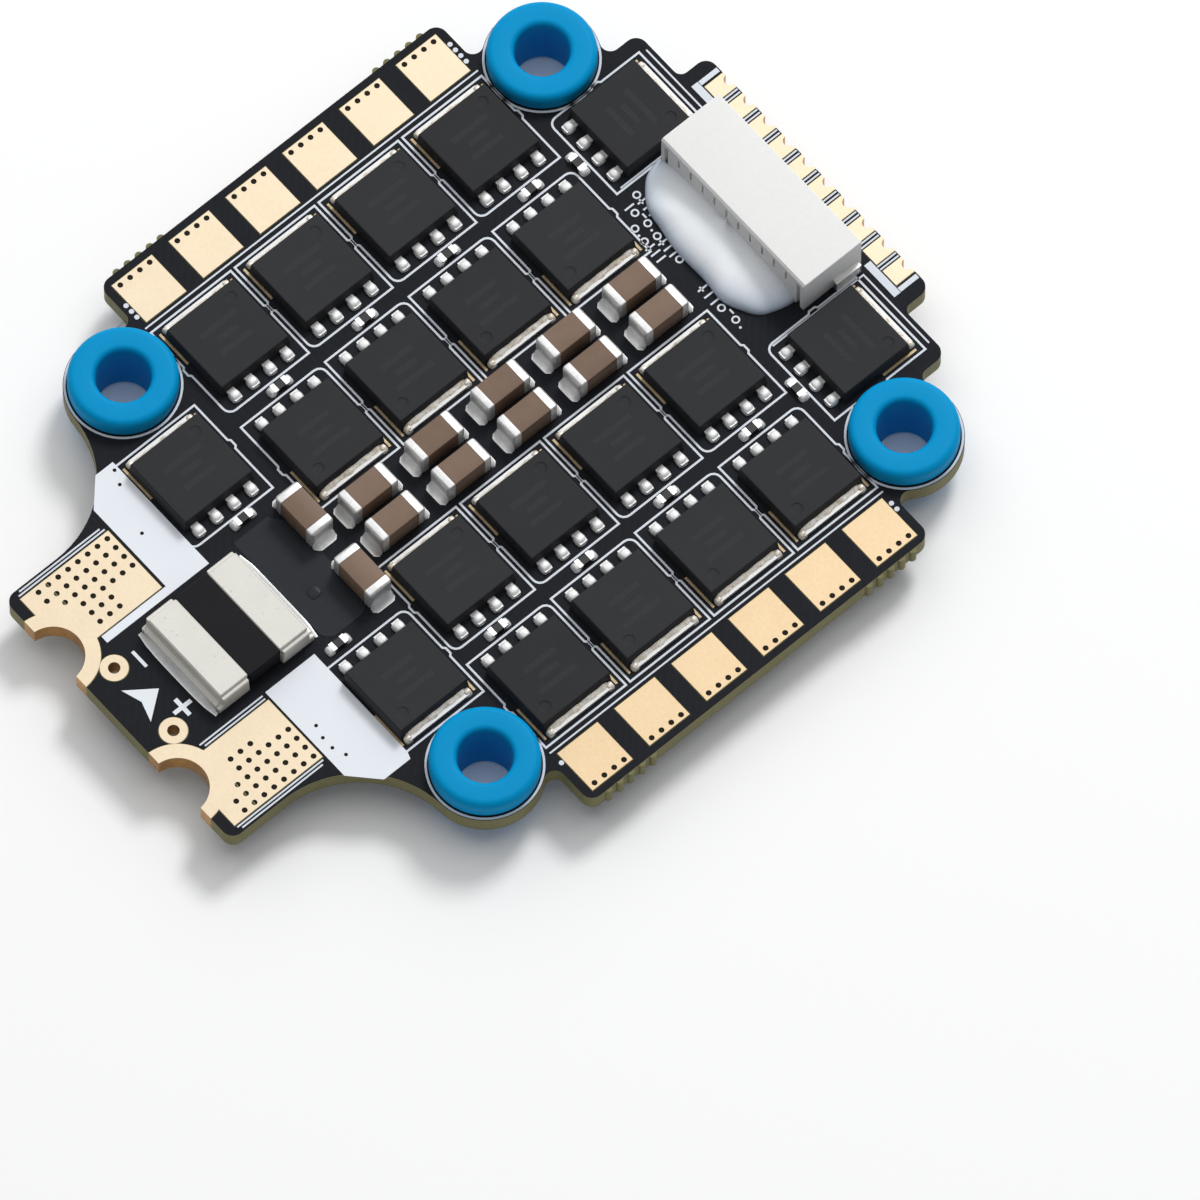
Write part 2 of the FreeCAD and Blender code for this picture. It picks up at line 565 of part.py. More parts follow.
def grommet(x, y):
    """Silicone grommet, a spool turned about its bore."""
    neck_r = BOARD_HOLE_R - NECK_GAP
    foot_top = Z_UNDER - FACE_GAP
    head_foot = Z_TOP + FACE_GAP
    top = Z_TOP + HEAD_H
    spool = fuse([disc(0, 0, neck_r, 0, top), disc(0, 0, FOOT_R, 0, foot_top),
                  disc(0, 0, HEAD_R, head_foot, top)])
    spool = spool.cut(disc(0, 0, BOLT_BORE_R, 0, top))
    spool = spool.makeFillet(FLANGE_EDGE_R, circles(spool, FOOT_R) + circles(spool, HEAD_R))
    spool = spool.makeFillet(BORE_EDGE_R, circles(spool, BOLT_BORE_R))
    spool.translate(vec(x, y))
    return spool


# ---- parts that stand on the board

def transistor():
    """Power transistor with its leads towards +X: moulded body and copper frame."""
    reach = FET_L / 2.0
    frame = [slab(-reach - FET_DRAIN_OUT, -reach + FET_DRAIN_IN, -FET_DRAIN_W / 2.0, FET_DRAIN_W / 2.0,
                  0, FET_METAL_T)]
    for i in range(FET_LEADS):
        y = (i - (FET_LEADS - 1) / 2.0) * FET_LEAD_PITCH
        frame.append(slab(reach - FET_LEAD_IN, reach + FET_LEAD_OUT, y - FET_LEAD_W / 2.0,
                          y + FET_LEAD_W / 2.0, 0, FET_METAL_T))
    metal = Part.makeCompound(frame)
    body = moulded(FET_L, FET_W, 0, FET_H, FET_DRAFT).cut(metal)
    return body, metal


def transistor_places(motor):
    """The six transistors of one motor: those on top and the one underneath."""
    side, end = MOTORS[motor]
    top = [TOP_CORNER_FETS[motor]]
    for y in (ROW_IN, ROW_OUT):
        top.append((side * COLUMN_IN, end * y, 0 if side > 0 else 180))
        top.append((side * COLUMN_OUT, end * y, 180 if side > 0 else 0))
    return top, UNDER_FETS[motor]


def chip(sizes, edge_r=0.0):
    """Chip part lying along X: ceramic body and two end bands."""
    length, width, height, band = sizes
    body = slab(-length / 2.0 + band, length / 2.0 - band, -width / 2.0 + CHIP_INSET,
                width / 2.0 - CHIP_INSET, CHIP_INSET, height - CHIP_INSET)
    ends = []
    for side in (-1, 1):
        end = block(side * (length - band) / 2.0, 0, band, width, 0, height)
        if edge_r > 0:
            outer = [edge for edge in end.Edges
                     if all(abs(v.X - side * length / 2.0) < TOLERANCE for v in edge.Vertexes)]
            end = end.makeFillet(edge_r, outer)
        ends.append(end)
    return body, Part.makeCompound(ends)


def quad_chip(sizes):
    """Flat square chip with lands on four sides: body and lands."""
    width, height, count = sizes
    lands = []
    for quarter in range(4):
        for i in range(count):
            y = (i - (count - 1) / 2.0) * QUAD_PITCH
            land = slab(width / 2.0 - QUAD_LAND_IN, width / 2.0 + QUAD_LAND_OUT,
                        y - QUAD_LAND_W / 2.0, y + QUAD_LAND_W / 2.0, 0, QUAD_LAND_T)
            land.rotate(vec(0, 0), vec(0, 0, 1), 90 * quarter)
            lands.append(land)
    metal = Part.makeCompound(lands)
    body = block(0, 0, width, width, 0, height).cut(metal)
    return body, metal


def small_outline_chip():
    """Small moulded chip with bent leads on its two long sides."""
    length, width, height, count = SOT_BODY
    foot = SOT_LEAD_T
    mid = height / 2.0
    leads = []
    for side in (-1, 1):
        for i in range(count):
            x = (i - (count - 1) / 2.0) * SOT_PITCH
            y0 = width / 2.0
            y1 = y0 + SOT_REACH
            bend = y0 + SOT_REACH / 3.0
            points = [(y0, mid), (bend, mid), (bend + foot, foot), (y1, foot), (y1, 0), (bend, 0),
                      (bend - foot / 2.0, mid - foot), (y0, mid - foot), (y0, mid)]
            outline = Part.makePolygon([vec(x - SOT_LEAD_W / 2.0, side * y, z) for y, z in points])
            leads.append(Part.Face(outline).extrude(vec(SOT_LEAD_W, 0, 0)))
    body = block(0, 0, length, width, SOT_STANDOFF, height)
    return body, Part.makeCompound(leads)


def power_diode(length, width):
    """Moulded diode lying along X: body and two flat ends."""
    body = moulded(length - 2 * DIODE_END_L, width, 0, DIODE_H, FET_DRAFT)
    end_w = width * DIODE_END_SHARE
    ends = [block(side * (length - DIODE_END_L) / 2.0, 0, DIODE_END_L, end_w, 0, FET_METAL_T)
            for side in (-1, 1)]
    return body, Part.makeCompound(ends)


def inductor():
    """Moulded power inductor: ferrite block and the lands under two sides."""
    core = block(0, 0, COIL_W, COIL_W, COIL_LAND_T, COIL_H)
    uprights = [edge for edge in core.Edges if abs(edge.tangentAt(edge.FirstParameter).z) > 0.9]
    core = core.makeFillet(COIL_CORNER_R, uprights)
    lands = [block(0, side * (COIL_W / 2.0 - COIL_LAND_OUT), COIL_LAND_W, COIL_LAND_L, 0, COIL_LAND_T)
             for side in (-1, 1)]
    return core, Part.makeCompound(lands)


def shunt():
    """Current shunt: two broad tinned ends and the coated strip between them."""
    end_l = (SHUNT_L - SHUNT_ELEMENT_L) / 2.0
    ends = []
    for side in (-1, 1):
        end = block(0, side * (SHUNT_ELEMENT_L + end_l) / 2.0, SHUNT_W, end_l, 0, SHUNT_H - SHUNT_END_DROP)
        outer = [edge for edge in end.Edges
                 if all(abs(v.Y - side * SHUNT_L / 2.0) < TOLERANCE and v.Z > SHUNT_H / 2.0
                        for v in edge.Vertexes)]
        ends.append(end.makeChamfer(SHUNT_END_DROP, outer))
    element = block(0, 0, SHUNT_W, SHUNT_ELEMENT_L, SHUNT_FOOT, SHUNT_H)
    return element, Part.makeCompound(ends)


# ---- signal connector

def connector_xs():
    """Middle of each contact."""
    first = CONN_X - CONN_PITCH * (CONN_PINS - 1) / 2.0
    return [first + CONN_PITCH * i for i in range(CONN_PINS)]


def contact(x):
    """Contact pin from the cavity through the rear wall down to its tail on the board."""
    back = CONN_Y - CONN_D / 2.0
    drop_y = back + CONTACT_INSET
    tip_y = CONN_Y + CONN_D / 2.0 - CONTACT_SETBACK
    pin_z = Z_TOP + CONN_H / 2.0
    x0 = x - CONTACT_W / 2.0
    x1 = x + CONTACT_W / 2.0
    pin = slab(x0, x1, drop_y, tip_y, pin_z, pin_z + CONTACT_T)
    drop = slab(x0, x1, drop_y, drop_y + CONTACT_T, Z_TOP, pin_z)
    tail = slab(x0, x1, back - CONTACT_TAIL, drop_y, Z_TOP, Z_TOP + CONTACT_T)
    return fuse([pin, drop, tail])


def hold_down(side):
    """Tinned lug soldered beside one end of the housing."""
    x = CONN_X + side * (CONN_W / 2.0 + HOLD_W / 2.0)
    y = CONN_Y + CONN_D / 2.0 - HOLD_L / 2.0 - HOLD_SETBACK
    return block(x, y, HOLD_W, HOLD_L, Z_TOP, Z_TOP + HOLD_H)


def connector_housing(contacts):
    """Housing open towards +Y, its rear wall slotted below the roof and notched by its corner posts."""
    back = CONN_Y - CONN_D / 2.0
    front = CONN_Y + CONN_D / 2.0
    top = Z_TOP + CONN_H
    shell = block(CONN_X, CONN_Y, CONN_W, CONN_D, Z_TOP, top)
    rear = [edge for edge in shell.Edges
            if all(abs(v.Y - back) < TOLERANCE and abs(v.Z - top) < TOLERANCE for v in edge.Vertexes)]
    shell = shell.makeChamfer(CONN_BACK_CHAMFER, rear)
    inner = CONN_W / 2.0 - 2.0 * CONN_WALL
    cutters = [slab(CONN_X - inner, CONN_X + inner, front - CONN_CAVITY_D, front,
                    Z_TOP + CONN_WALL, top - CONN_WALL)]
    slot_top = top - CONN_WALL
    for x in connector_xs():
        cutters.append(slab(x - CONN_SLOT_W / 2.0, x + CONN_SLOT_W / 2.0, back, back + CONN_SLOT_D,
                            Z_TOP + CONN_H / 2.0 + CONTACT_T, slot_top))
    for side in (-1, 1):
        notch_x = CONN_X + side * (CONN_W / 2.0 - CONN_POST_W - CONN_NOTCH_W / 2.0)
        cutters.append(slab(notch_x - CONN_NOTCH_W / 2.0, notch_x + CONN_NOTCH_W / 2.0,
                            back, back + CONN_SLOT_D, Z_TOP, slot_top))
    return shell.cut(Part.makeCompound(cutters + contacts))


def glue(contacts):
    """Soft sealant over the contact tails, a quarter of a flattened ball against the rear wall."""
    back = CONN_Y - CONN_D / 2.0
    ball = Part.makeSphere(1.0)
    stretch = FreeCAD.Matrix()
    stretch.A11 = GLUE_HALF
    stretch.A22 = GLUE_REACH
    stretch.A33 = GLUE_H
    blob = ball.transformGeometry(stretch)
    blob.translate(vec(CONN_X - GLUE_OFFSET, back, Z_TOP))
    blob = blob.common(slab(-SIDE_HALF, SIDE_HALF, back - GLUE_REACH, back, Z_TOP, Z_TOP + CONN_H))
    return blob.cut(Part.makeCompound(contacts))


# ---- the whole board

def upright(places):
    """Places whose parts lie along Y."""
    return [(x, y, 90) for x, y in places]


def flat(places):
    """Places whose parts lie along X."""
    return [(x, y, 0) for x, y in places]


def write_board():
    """Bare board, masks and bare pads."""
    write("board_laminate", [board_laminate()])
    write("solder_mask_top", [solder_mask(True)])
    write("solder_mask_bottom", [solder_mask(False)])
    write("battery_minus_pad", [battery_pad(-1, VIA_COLUMNS_MINUS)])
    write("battery_plus_pad", [battery_pad(1, VIA_COLUMNS_PLUS)])
    for motor in MOTORS:
        write("motor%d_pads" % motor, motor_pads(motor))
    write("signal_pads", signal_pads())
    write("test_points", test_points())
    for name, (x, y) in hole_centres().items():
        write("grommet_" + name, [grommet(x, y)])


def write_motor_stages():
    """For each motor: its transistors, its microcontroller and its gate driver."""
    fet_body, fet_metal = transistor()
    mcu_body, mcu_lands = quad_chip(MCU)
    driver_body, driver_lands = quad_chip(DRIVER)
    for motor in MOTORS:
        top, under = transistor_places(motor)
        bodies = [on_top(fet_body, place) for place in top] + [underneath(fet_body, under)]
        frames = [on_top(fet_metal, place) for place in top] + [underneath(fet_metal, under)]
        write("motor%d_transistor_bodies" % motor, bodies)
        write("motor%d_transistor_frames" % motor, frames)
        write("motor%d_microcontroller" % motor, [underneath(mcu_body, MCU_PLACES[motor])])
        write("motor%d_gate_driver" % motor, [underneath(driver_body, DRIVER_PLACES[motor])])
    write("microcontroller_lands", [underneath(mcu_lands, place) for place in MCU_PLACES.values()])
    write("gate_driver_lands", [underneath(driver_lands, place) for place in DRIVER_PLACES.values()])


def write_top_parts():
    """Capacitors, shunt, gate resistors and connector on the upper face."""
    cap_body, cap_ends = chip(BULK_CAP, BULK_CAP_EDGE_R)
    places = [(TAB_CAP_X, TAB_CAP_Y, 0), (-TAB_CAP_X, TAB_CAP_Y, 0)]
    for row in range(BULK_CAP_ROWS):
        y = (row - (BULK_CAP_ROWS - 1) / 2.0) * BULK_CAP_PITCH
        places += [(BULK_CAP_X, y, 90), (-BULK_CAP_X, y, 90)]
    write("bulk_capacitor_bodies", [on_top(cap_body, place) for place in places])
    write("bulk_capacitor_terminals", [on_top(cap_ends, place) for place in places])
    element, ends = shunt()
    write("shunt_element", [on_top(element, (SHUNT_X, SHUNT_Y, 0))])
    write("shunt_terminals", [on_top(ends, (SHUNT_X, SHUNT_Y, 0))])
    body, ends = chip(SMALL_CHIP)
    places = upright(GATE_RESISTORS_UPRIGHT) + flat(GATE_RESISTORS_FLAT)
    write("gate_resistor_bodies", [on_top(body, place) for place in places])
    write("gate_resistor_terminals", [on_top(ends, place) for place in places])
    contacts = [contact(x) for x in connector_xs()]
    write("signal_connector_housing", [connector_housing(contacts)])
    write("signal_connector_contacts", contacts)
    write("signal_connector_hold_downs", [hold_down(-1), hold_down(1)])
    write("connector_glue", [glue(contacts)])


def write_supply_parts():
    """Regulator, current amplifier, logic chips, inductor and diodes under the board."""
    body, leads = small_outline_chip()
    write("regulator_body", [underneath(body, REGULATOR)])
    write("regulator_leads", [underneath(leads, REGULATOR)])
    write("current_amplifier_body", [underneath(body, CURRENT_AMPLIFIER)])
    write("current_amplifier_leads", [underneath(leads, CURRENT_AMPLIFIER)])
    write("logic_chip_bodies", [underneath(body, place) for place in LOGIC_CHIPS])
    write("logic_chip_leads", [underneath(leads, place) for place in LOGIC_CHIPS])
    core, lands = inductor()
    write("inductor_core", [underneath(core, INDUCTOR + (0,))])
    write("inductor_terminals", [underneath(lands, INDUCTOR + (0,))])
    bodies = []
    terminals = []
    for x, y, turn, length, width in POWER_DIODES:
        body, ends = power_diode(length, width)
        bodies.append(underneath(body, (x, y, turn)))
        terminals.append(underneath(ends, (x, y, turn)))
    body, ends = chip(SMALL_DIODE)
    for place in flat(SMALL_DIODES_FLAT) + upright(SMALL_DIODES_UPRIGHT):
        bodies.append(underneath(body, place))
        terminals.append(underneath(ends, place))
    write("diode_bodies", bodies)
    write("diode_terminals", terminals)


def write_under_chips():
    """Chip resistors and capacitors under the board."""
    body, ends = chip(SMALL_CHIP)
    places = flat(RESISTORS_FLAT) + upright(RESISTORS_UPRIGHT)
    write("chip_resistor_bodies", [underneath(body, place) for place in places])
    write("chip_resistor_terminals", [underneath(ends, place) for place in places])
    kinds = [(INPUT_CAP, INPUT_CAP_PLACES), (LARGE_CAP, LARGE_CAP_PLACES),
             (MEDIUM_CAP, flat(MEDIUM_CAPS_FLAT) + upright(MEDIUM_CAPS_UPRIGHT)),
             (SMALL_CHIP, flat(SMALL_CAPS_FLAT) + upright(SMALL_CAPS_UPRIGHT))]
    bodies = []
    terminals = []
    for sizes, places in kinds:
        body, ends = chip(sizes)
        bodies += [underneath(body, place) for place in places]
        terminals += [underneath(ends, place) for place in places]
    write("chip_capacitor_bodies", bodies)
    write("chip_capacitor_terminals", terminals)


os.makedirs("parts", exist_ok=True)
write_board()
write_motor_stages()
write_top_parts()
write_supply_parts()
write_under_chips()
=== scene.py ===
"""Looks of a four-in-one speed controller board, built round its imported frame.

Each sub-assembly is a class that holds its sizes in millimetres, works out its surfaces with numpy and
dresses them. Each finish is a frozen dataclass. Places come from the solids of the frame's own nodes.
"""

import logging
import math
from dataclasses import dataclass, field
from enum import Enum

import bmesh
import bpy
import numpy as np
from mathutils import Matrix, Vector


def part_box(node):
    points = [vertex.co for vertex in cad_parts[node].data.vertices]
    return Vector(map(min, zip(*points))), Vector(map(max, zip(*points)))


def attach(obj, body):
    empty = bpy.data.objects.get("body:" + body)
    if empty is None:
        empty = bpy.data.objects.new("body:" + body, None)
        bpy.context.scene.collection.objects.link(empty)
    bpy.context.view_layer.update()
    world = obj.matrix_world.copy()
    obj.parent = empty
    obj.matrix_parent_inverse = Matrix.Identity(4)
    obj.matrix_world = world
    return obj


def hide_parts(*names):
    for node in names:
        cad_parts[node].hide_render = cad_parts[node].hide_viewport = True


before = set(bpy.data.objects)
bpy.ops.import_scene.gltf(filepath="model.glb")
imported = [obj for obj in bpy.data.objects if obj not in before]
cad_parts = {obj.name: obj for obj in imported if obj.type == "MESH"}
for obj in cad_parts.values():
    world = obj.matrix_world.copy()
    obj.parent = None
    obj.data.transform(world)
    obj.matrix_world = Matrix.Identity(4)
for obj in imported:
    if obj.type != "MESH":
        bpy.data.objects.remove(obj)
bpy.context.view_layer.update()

MM = 0.001
BOARD = "board"
log = logging.getLogger("speed_controller")

Colour = tuple[float, float, float]


# ---------------------------------------------------------------- surfaces

@dataclass
class Patch:
    """A surface in millimetres: points, and faces grouped by their number of corners.

    Each point may also keep its place in its own copy (local) and a number from 0 to 1 that is the same
    over the whole copy (pick), so that a finish can tell one copy from the next.
    """

    points: np.ndarray
    faces: list[np.ndarray]
    local: np.ndarray | None = None
    pick: np.ndarray | None = None

    def __post_init__(self) -> None:
        """Fill in the local places and picks that were not given."""
        if self.local is None:
            self.local = self.points
        if self.pick is None:
            self.pick = np.full(len(self.points), 0.5)

    def moved(self, x: float = 0.0, y: float = 0.0, z: float = 0.0) -> "Patch":
        """Return the patch shifted."""
        return Patch(self.points + np.array([x, y, z]), self.faces, self.local, self.pick)

    def turned(self, degrees: float) -> "Patch":
        """Return the patch turned about the Z axis."""
        return Patch(self.points @ turn_matrix(np.radians(degrees)).T, self.faces, self.local, self.pick)

    def flipped(self) -> "Patch":
        """Return the patch mirrored in y, with its faces turned round to match."""
        return Patch(self.points * np.array([1.0, -1.0, 1.0]), [f[:, ::-1] for f in self.faces], self.local,
                     self.pick)


def turn_matrix(angle: float) -> np.ndarray:
    """Return the 3 by 3 turn about Z by an angle in radians."""
    c, s = math.cos(angle), math.sin(angle)
    return np.array([[c, -s, 0.0], [s, c, 0.0], [0.0, 0.0, 1.0]])


def unit(angle: np.ndarray) -> np.ndarray:
    """Return the points (cos, sin) at some angles in radians."""
    return np.stack([np.cos(angle), np.sin(angle)], axis=1)


def box_of(node: str) -> tuple[np.ndarray, np.ndarray]:
    """Return the lowest and the highest corner of a node's box, in millimetres."""
    low, high = (np.array(corner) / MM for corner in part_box(node))
    return low, high


def join(patches: list[Patch]) -> Patch:
    """Return one patch that holds all the others, with their face numbers shifted to match."""
    starts = np.cumsum([0] + [len(p.points) for p in patches])
    faces = [f + start for p, start in zip(patches, starts) for f in p.faces]
    points, local, pick = (np.concatenate([getattr(p, key) for p in patches])
                           for key in ("points", "local", "pick"))
    return Patch(points, faces, local, pick)


def rings_patch(rings: np.ndarray, caps: tuple[bool, bool] = (True, True)) -> Patch:
    """Return a closed skin over a stack of rings.

    Point (i, j) of the surface is rings[i, j]; it wraps in j, and the first and last rings may be capped.
    Rings run anticlockwise seen from above and climb from the first to the last, so faces point outwards.

    Args:
        rings: array of ring count by points in a ring by 3.
        caps: whether the first and the last ring are closed by a flat face.

    Returns:
        The patch.
    """
    count, around = rings.shape[:2]
    index = np.arange(count * around).reshape(count, around)
    after = np.roll(index, -1, axis=1)
    quads = np.stack([index[:-1], after[:-1], after[1:], index[1:]], axis=-1).reshape(-1, 4)
    faces = [quads]
    if caps[0]:
        faces.append(index[0][::-1][None, :])
    if caps[1]:
        faces.append(index[-1][None, :])
    return Patch(rings.reshape(-1, 3), faces)


def grid_quads(rows: int, columns: int) -> tuple[np.ndarray, np.ndarray]:
    """Return the point numbers of a grid, and the quads between its neighbouring rows and columns."""
    index = np.arange(rows * columns).reshape(rows, columns)
    quads = np.stack([index[:-1, :-1], index[1:, :-1], index[1:, 1:], index[:-1, 1:]], -1)
    return index, quads.reshape(-1, 4)


def rounded_outline(half_x: float, half_y: float, radius: float, steps: int = 4) -> np.ndarray:
    """Return a rectangle's outline with round corners, anticlockwise, as points by 2.

    Each corner is a quarter circle: centre plus radius times (cos, sin) over its own 90 degrees.
    """
    quarter = np.linspace(0.0, math.pi / 2.0, steps)
    corners = []
    for k, (sx, sy) in enumerate(((1, 1), (-1, 1), (-1, -1), (1, -1))):
        angle = quarter + k * math.pi / 2.0
        centre = np.array([sx * (half_x - radius), sy * (half_y - radius)])
        corners.append(centre + radius * unit(angle))
    return np.concatenate(corners)


def at_height(outline: np.ndarray, z: float) -> np.ndarray:
    """Return a flat outline lifted to a height."""
    return np.column_stack([outline, np.full(len(outline), z)])


def dimpled_block_patch(size: tuple[float, float, float], edge: float, draft: float,
                        dimple: tuple[float, float, float, float]) -> Patch:
    """Return a moulded block whose top has one round shallow dimple.

    Its rings are one rounded outline drawn in by the draft at each height, and by the edge's quarter circle
    over the last stretch: inset = edge * (1 - cos t), height = top - edge * (1 - sin t). Inwards, the top's
    rings go from the outline to the dimple's circle, whose points lie at the angles of the outline's points
    seen from the dimple's centre, then down into it.

    Args:
        size: length, width and height.
        edge: rounding of the top edges.
        draft: lean of the sides.
        dimple: x, y, radius and depth.

    Returns:
        The patch.
    """
    length, width, height = size
    x, y, radius, depth = dimple
    steps = 4

    def outline(half_x: float, half_y: float, radius: float) -> np.ndarray:
        """Return an outline with seven more points along each straight side."""
        corners = rounded_outline(half_x, half_y, radius, steps).reshape(4, -1, 2)
        share = np.linspace(0.0, 1.0, 9)[1:-1, None]
        sides = corners[:, -1:] * (1.0 - share) + np.roll(corners[:, :1], -1, axis=0) * share
        return np.concatenate([corners, sides], axis=1).reshape(-1, 2)

    rings = [at_height(outline(length / 2.0, width / 2.0, edge), 0.0)]
    for t in np.linspace(0.0, math.pi / 2.0, 4):
        inset = draft + edge * (1.0 - math.cos(t))
        z = height - edge * (1.0 - math.sin(t))
        rings.append(at_height(outline(length / 2.0 - inset, width / 2.0 - inset,
                                       max(edge - inset + draft, 0.01)), z))
    inner = outline(length / 2.0 - edge - draft - 0.04, width / 2.0 - edge - draft - 0.04, 0.01)
    rings.append(at_height(inner, height))
    away = inner - np.array([x, y])
    angle = np.arctan2(away[:, 1], away[:, 0])
    circle = unit(angle)
    for share, drop in ((1.1, 0.0), (1.0, 0.0), (0.93, 0.35), (0.85, 0.9), (0.7, 1.0)):
        rings.append(at_height(circle * radius * share + np.array([x, y]), height - depth * drop))
    return rings_patch(np.stack(rings))


def mound_patch(length: float, width: float, height: float, lean: float = 0.0, steps: int = 5) -> Patch:
    """Return a low solder mound on z = 0, centred, closed underneath.

    Rings shrink from the foot to the crown: share = cos(t) ** 0.65, height * sin t, over a superellipse
    outline; lean slides the crown along x.
    """
    around = np.linspace(0.0, 2.0 * math.pi, 12, endpoint=False)
    square = 2.0 / 3.2
    ox = np.sign(np.cos(around)) * np.abs(np.cos(around)) ** square * length / 2.0
    oy = np.sign(np.sin(around)) * np.abs(np.sin(around)) ** square * width / 2.0
    rings = []
    for t in np.linspace(0.0, 1.2, steps):
        share = math.cos(t) ** 0.65
        rings.append(np.column_stack([ox * share + lean * math.sin(t), oy * share,
                                      np.full(12, height * math.sin(t) / math.sin(1.2))]))
    return rings_patch(np.stack(rings))


def fillet_patch(reach: float, width: float, height: float, flare: float = 0.0, square: float = 4.0,
                 steps: int = 6) -> Patch:
    """Return a solder fillet that climbs a wall at x = 0 and runs out along +x.

    Its section is the hollow curve z = height * (1 - s)^2 at x = reach * s. Across the width, v from -1 to
    1, the reach and the height both thin by that power of v which is called square, and the foot is
    wider by the flare.
    """
    s = np.linspace(0.0, 1.0, steps)
    v = np.linspace(-1.0, 1.0, 9)
    thin = np.abs(v) ** square
    x = reach * np.outer(s, 1.0 - 0.5 * thin)
    z = height * np.outer((1.0 - s) ** 2, 1.0 - 0.75 * thin)
    y = np.outer(width / 2.0 + flare * s, v)
    top = np.stack([x, y, z], axis=-1)
    under = top.copy()
    under[:, :, 2] = 0.0
    index, quads = grid_quads(steps, len(v))
    count = index.size
    rim = np.concatenate([index[0, :], index[1:, -1], index[-1, -2::-1], index[-2:0:-1, 0]])
    side = np.stack([rim, np.roll(rim, -1), np.roll(rim, -1) + count, rim + count], axis=-1)
    return Patch(np.concatenate([top.reshape(-1, 3), under.reshape(-1, 3)]),
                 [quads, quads[:, ::-1] + count, side])


def drawn_in(section: np.ndarray, by: float) -> np.ndarray:
    """Return an anticlockwise section with each corner moved inwards, square to its two sides."""
    run = np.roll(section, -1, axis=0) - section
    run = run / np.linalg.norm(run, axis=1, keepdims=True)
    before = np.roll(run, 1, axis=0)
    inward = np.stack([-(run + before)[:, 1], (run + before)[:, 0]], axis=1)
    inward = inward / np.linalg.norm(inward, axis=1, keepdims=True)
    square = np.stack([-run[:, 1], run[:, 0]], axis=1)
    return section + inward * (by / np.maximum(0.5, (inward * square).sum(axis=1)))[:, None]


def prism_patch(section: np.ndarray, x0: float, x1: float, ease: tuple[float, float]) -> Patch:
    """Return a solid drawn out along x from a section of y and z, its ends eased by small chamfers.

    Args:
        section: points of y and z, anticlockwise seen from +x.
        x0: lower end.
        x1: upper end.
        ease: chamfer at the lower and the upper end, 0 for none.

    Returns:
        The patch.
    """
    rings = []
    if ease[0]:
        rings.append((x0, drawn_in(section, ease[0])))
    rings += [(x0 + ease[0], section), (x1 - ease[1], section)]
    if ease[1]:
        rings.append((x1, drawn_in(section, ease[1])))
    return upright_patch(rings)


def upright_patch(rings: list[tuple[float, np.ndarray]]) -> Patch:
    """Return a closed skin over sections of y and z, each stood at its own x."""
    return rings_patch(np.stack([np.column_stack([np.full(len(ring), x), ring]) for x, ring in rings]))


def band_patch(depth: float, width: float, height: float, round_: float) -> Patch:
    """Return a chip's end band from x = 0 to x = depth, pillowed at the far end.

    Its rings are rounded rectangles, each side smaller by d = round_ * (1 - cos t) at
    x = depth - round_ * (1 - sin t), all with the same corner radius.
    """
    stations = [(0.0, 0.0)]
    for t in np.linspace(0.0, math.pi / 2.0, 6):
        stations.append((depth - round_ * (1.0 - math.sin(t)), round_ * (1.0 - math.cos(t))))
    half_y, half_z, corner = width / 2.0, height / 2.0, 0.1
    middle = np.array([0.0, half_z])
    return upright_patch([(x, rounded_outline(half_y - less, half_z - less, corner) + middle)
                          for x, less in stations])


def line_patch(path: np.ndarray, width: float, height: float, closed: bool = False) -> Patch:
    """Return a flat printed line carried along a path on z = 0.

    The section is a rectangle. At each point it stands across the mean of the two runs that meet there,
    widened by one over the cosine of half their turn, so the line keeps its width round corners.
    """
    path = np.asarray(path, float)
    run = np.roll(path, -1, axis=0) - path
    if not closed:
        run[-1] = run[-2]
    run /= np.linalg.norm(run, axis=1, keepdims=True)
    before = np.roll(run, 1, axis=0)
    if not closed:
        before[0] = run[0]
    mean = run + before
    mean /= np.linalg.norm(mean, axis=1, keepdims=True)
    across = np.stack([-mean[:, 1], mean[:, 0]], axis=1)
    spread = width / 2.0 / np.maximum(0.4, (mean * run).sum(axis=1))[:, None]
    left, right = path + across * spread, path - across * spread
    low, high = np.zeros(len(path)), np.full(len(path), height)
    rings = np.stack([np.column_stack([right, low]), np.column_stack([left, low]),
                      np.column_stack([left, high]), np.column_stack([right, high])], axis=1)
    if closed:
        rings = np.concatenate([rings, rings[:1]])
        return rings_patch(rings, (False, False))
    return rings_patch(rings)


def plate_patch(outline: np.ndarray, height: float) -> Patch:
    """Return a flat plate on z = 0 with an anticlockwise outline."""
    outline = np.asarray(outline, float)
    return rings_patch(np.stack([at_height(outline, 0.0), at_height(outline, height)]))


def disc_patch(radius: float, height: float, steps: int = 16) -> Patch:
    """Return a flat disc on z = 0."""
    return plate_patch(circle_path(radius, steps), height)


def rounded_corner(x: float, y: float, radius: float, quarter: int = 0) -> np.ndarray:
    """Return a quarter circle that touches x; quarter 0 climbs to it from below, 1 leaves it above."""
    start = -math.pi / 2.0 if quarter == 0 else 0.0
    angle = np.linspace(start, start + math.pi / 2.0, 7)
    return np.array([x - radius, y]) + radius * unit(angle)


def circle_path(radius: float, steps: int = 64) -> np.ndarray:
    """Return points round a circle."""
    angle = np.linspace(0.0, 2.0 * math.pi, steps, endpoint=False)
    return radius * unit(angle)


# ---------------------------------------------------------------- places

class Side(Enum):
    """Which face of the board a thing belongs to."""

    TOP = 1
    UNDER = -1


FACE_Z = {Side.TOP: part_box("solder_mask_top")[1].z / MM, Side.UNDER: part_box("solder_mask_bottom")[0].z / MM}
BOARD_THICKNESS = FACE_Z[Side.TOP] - FACE_Z[Side.UNDER]


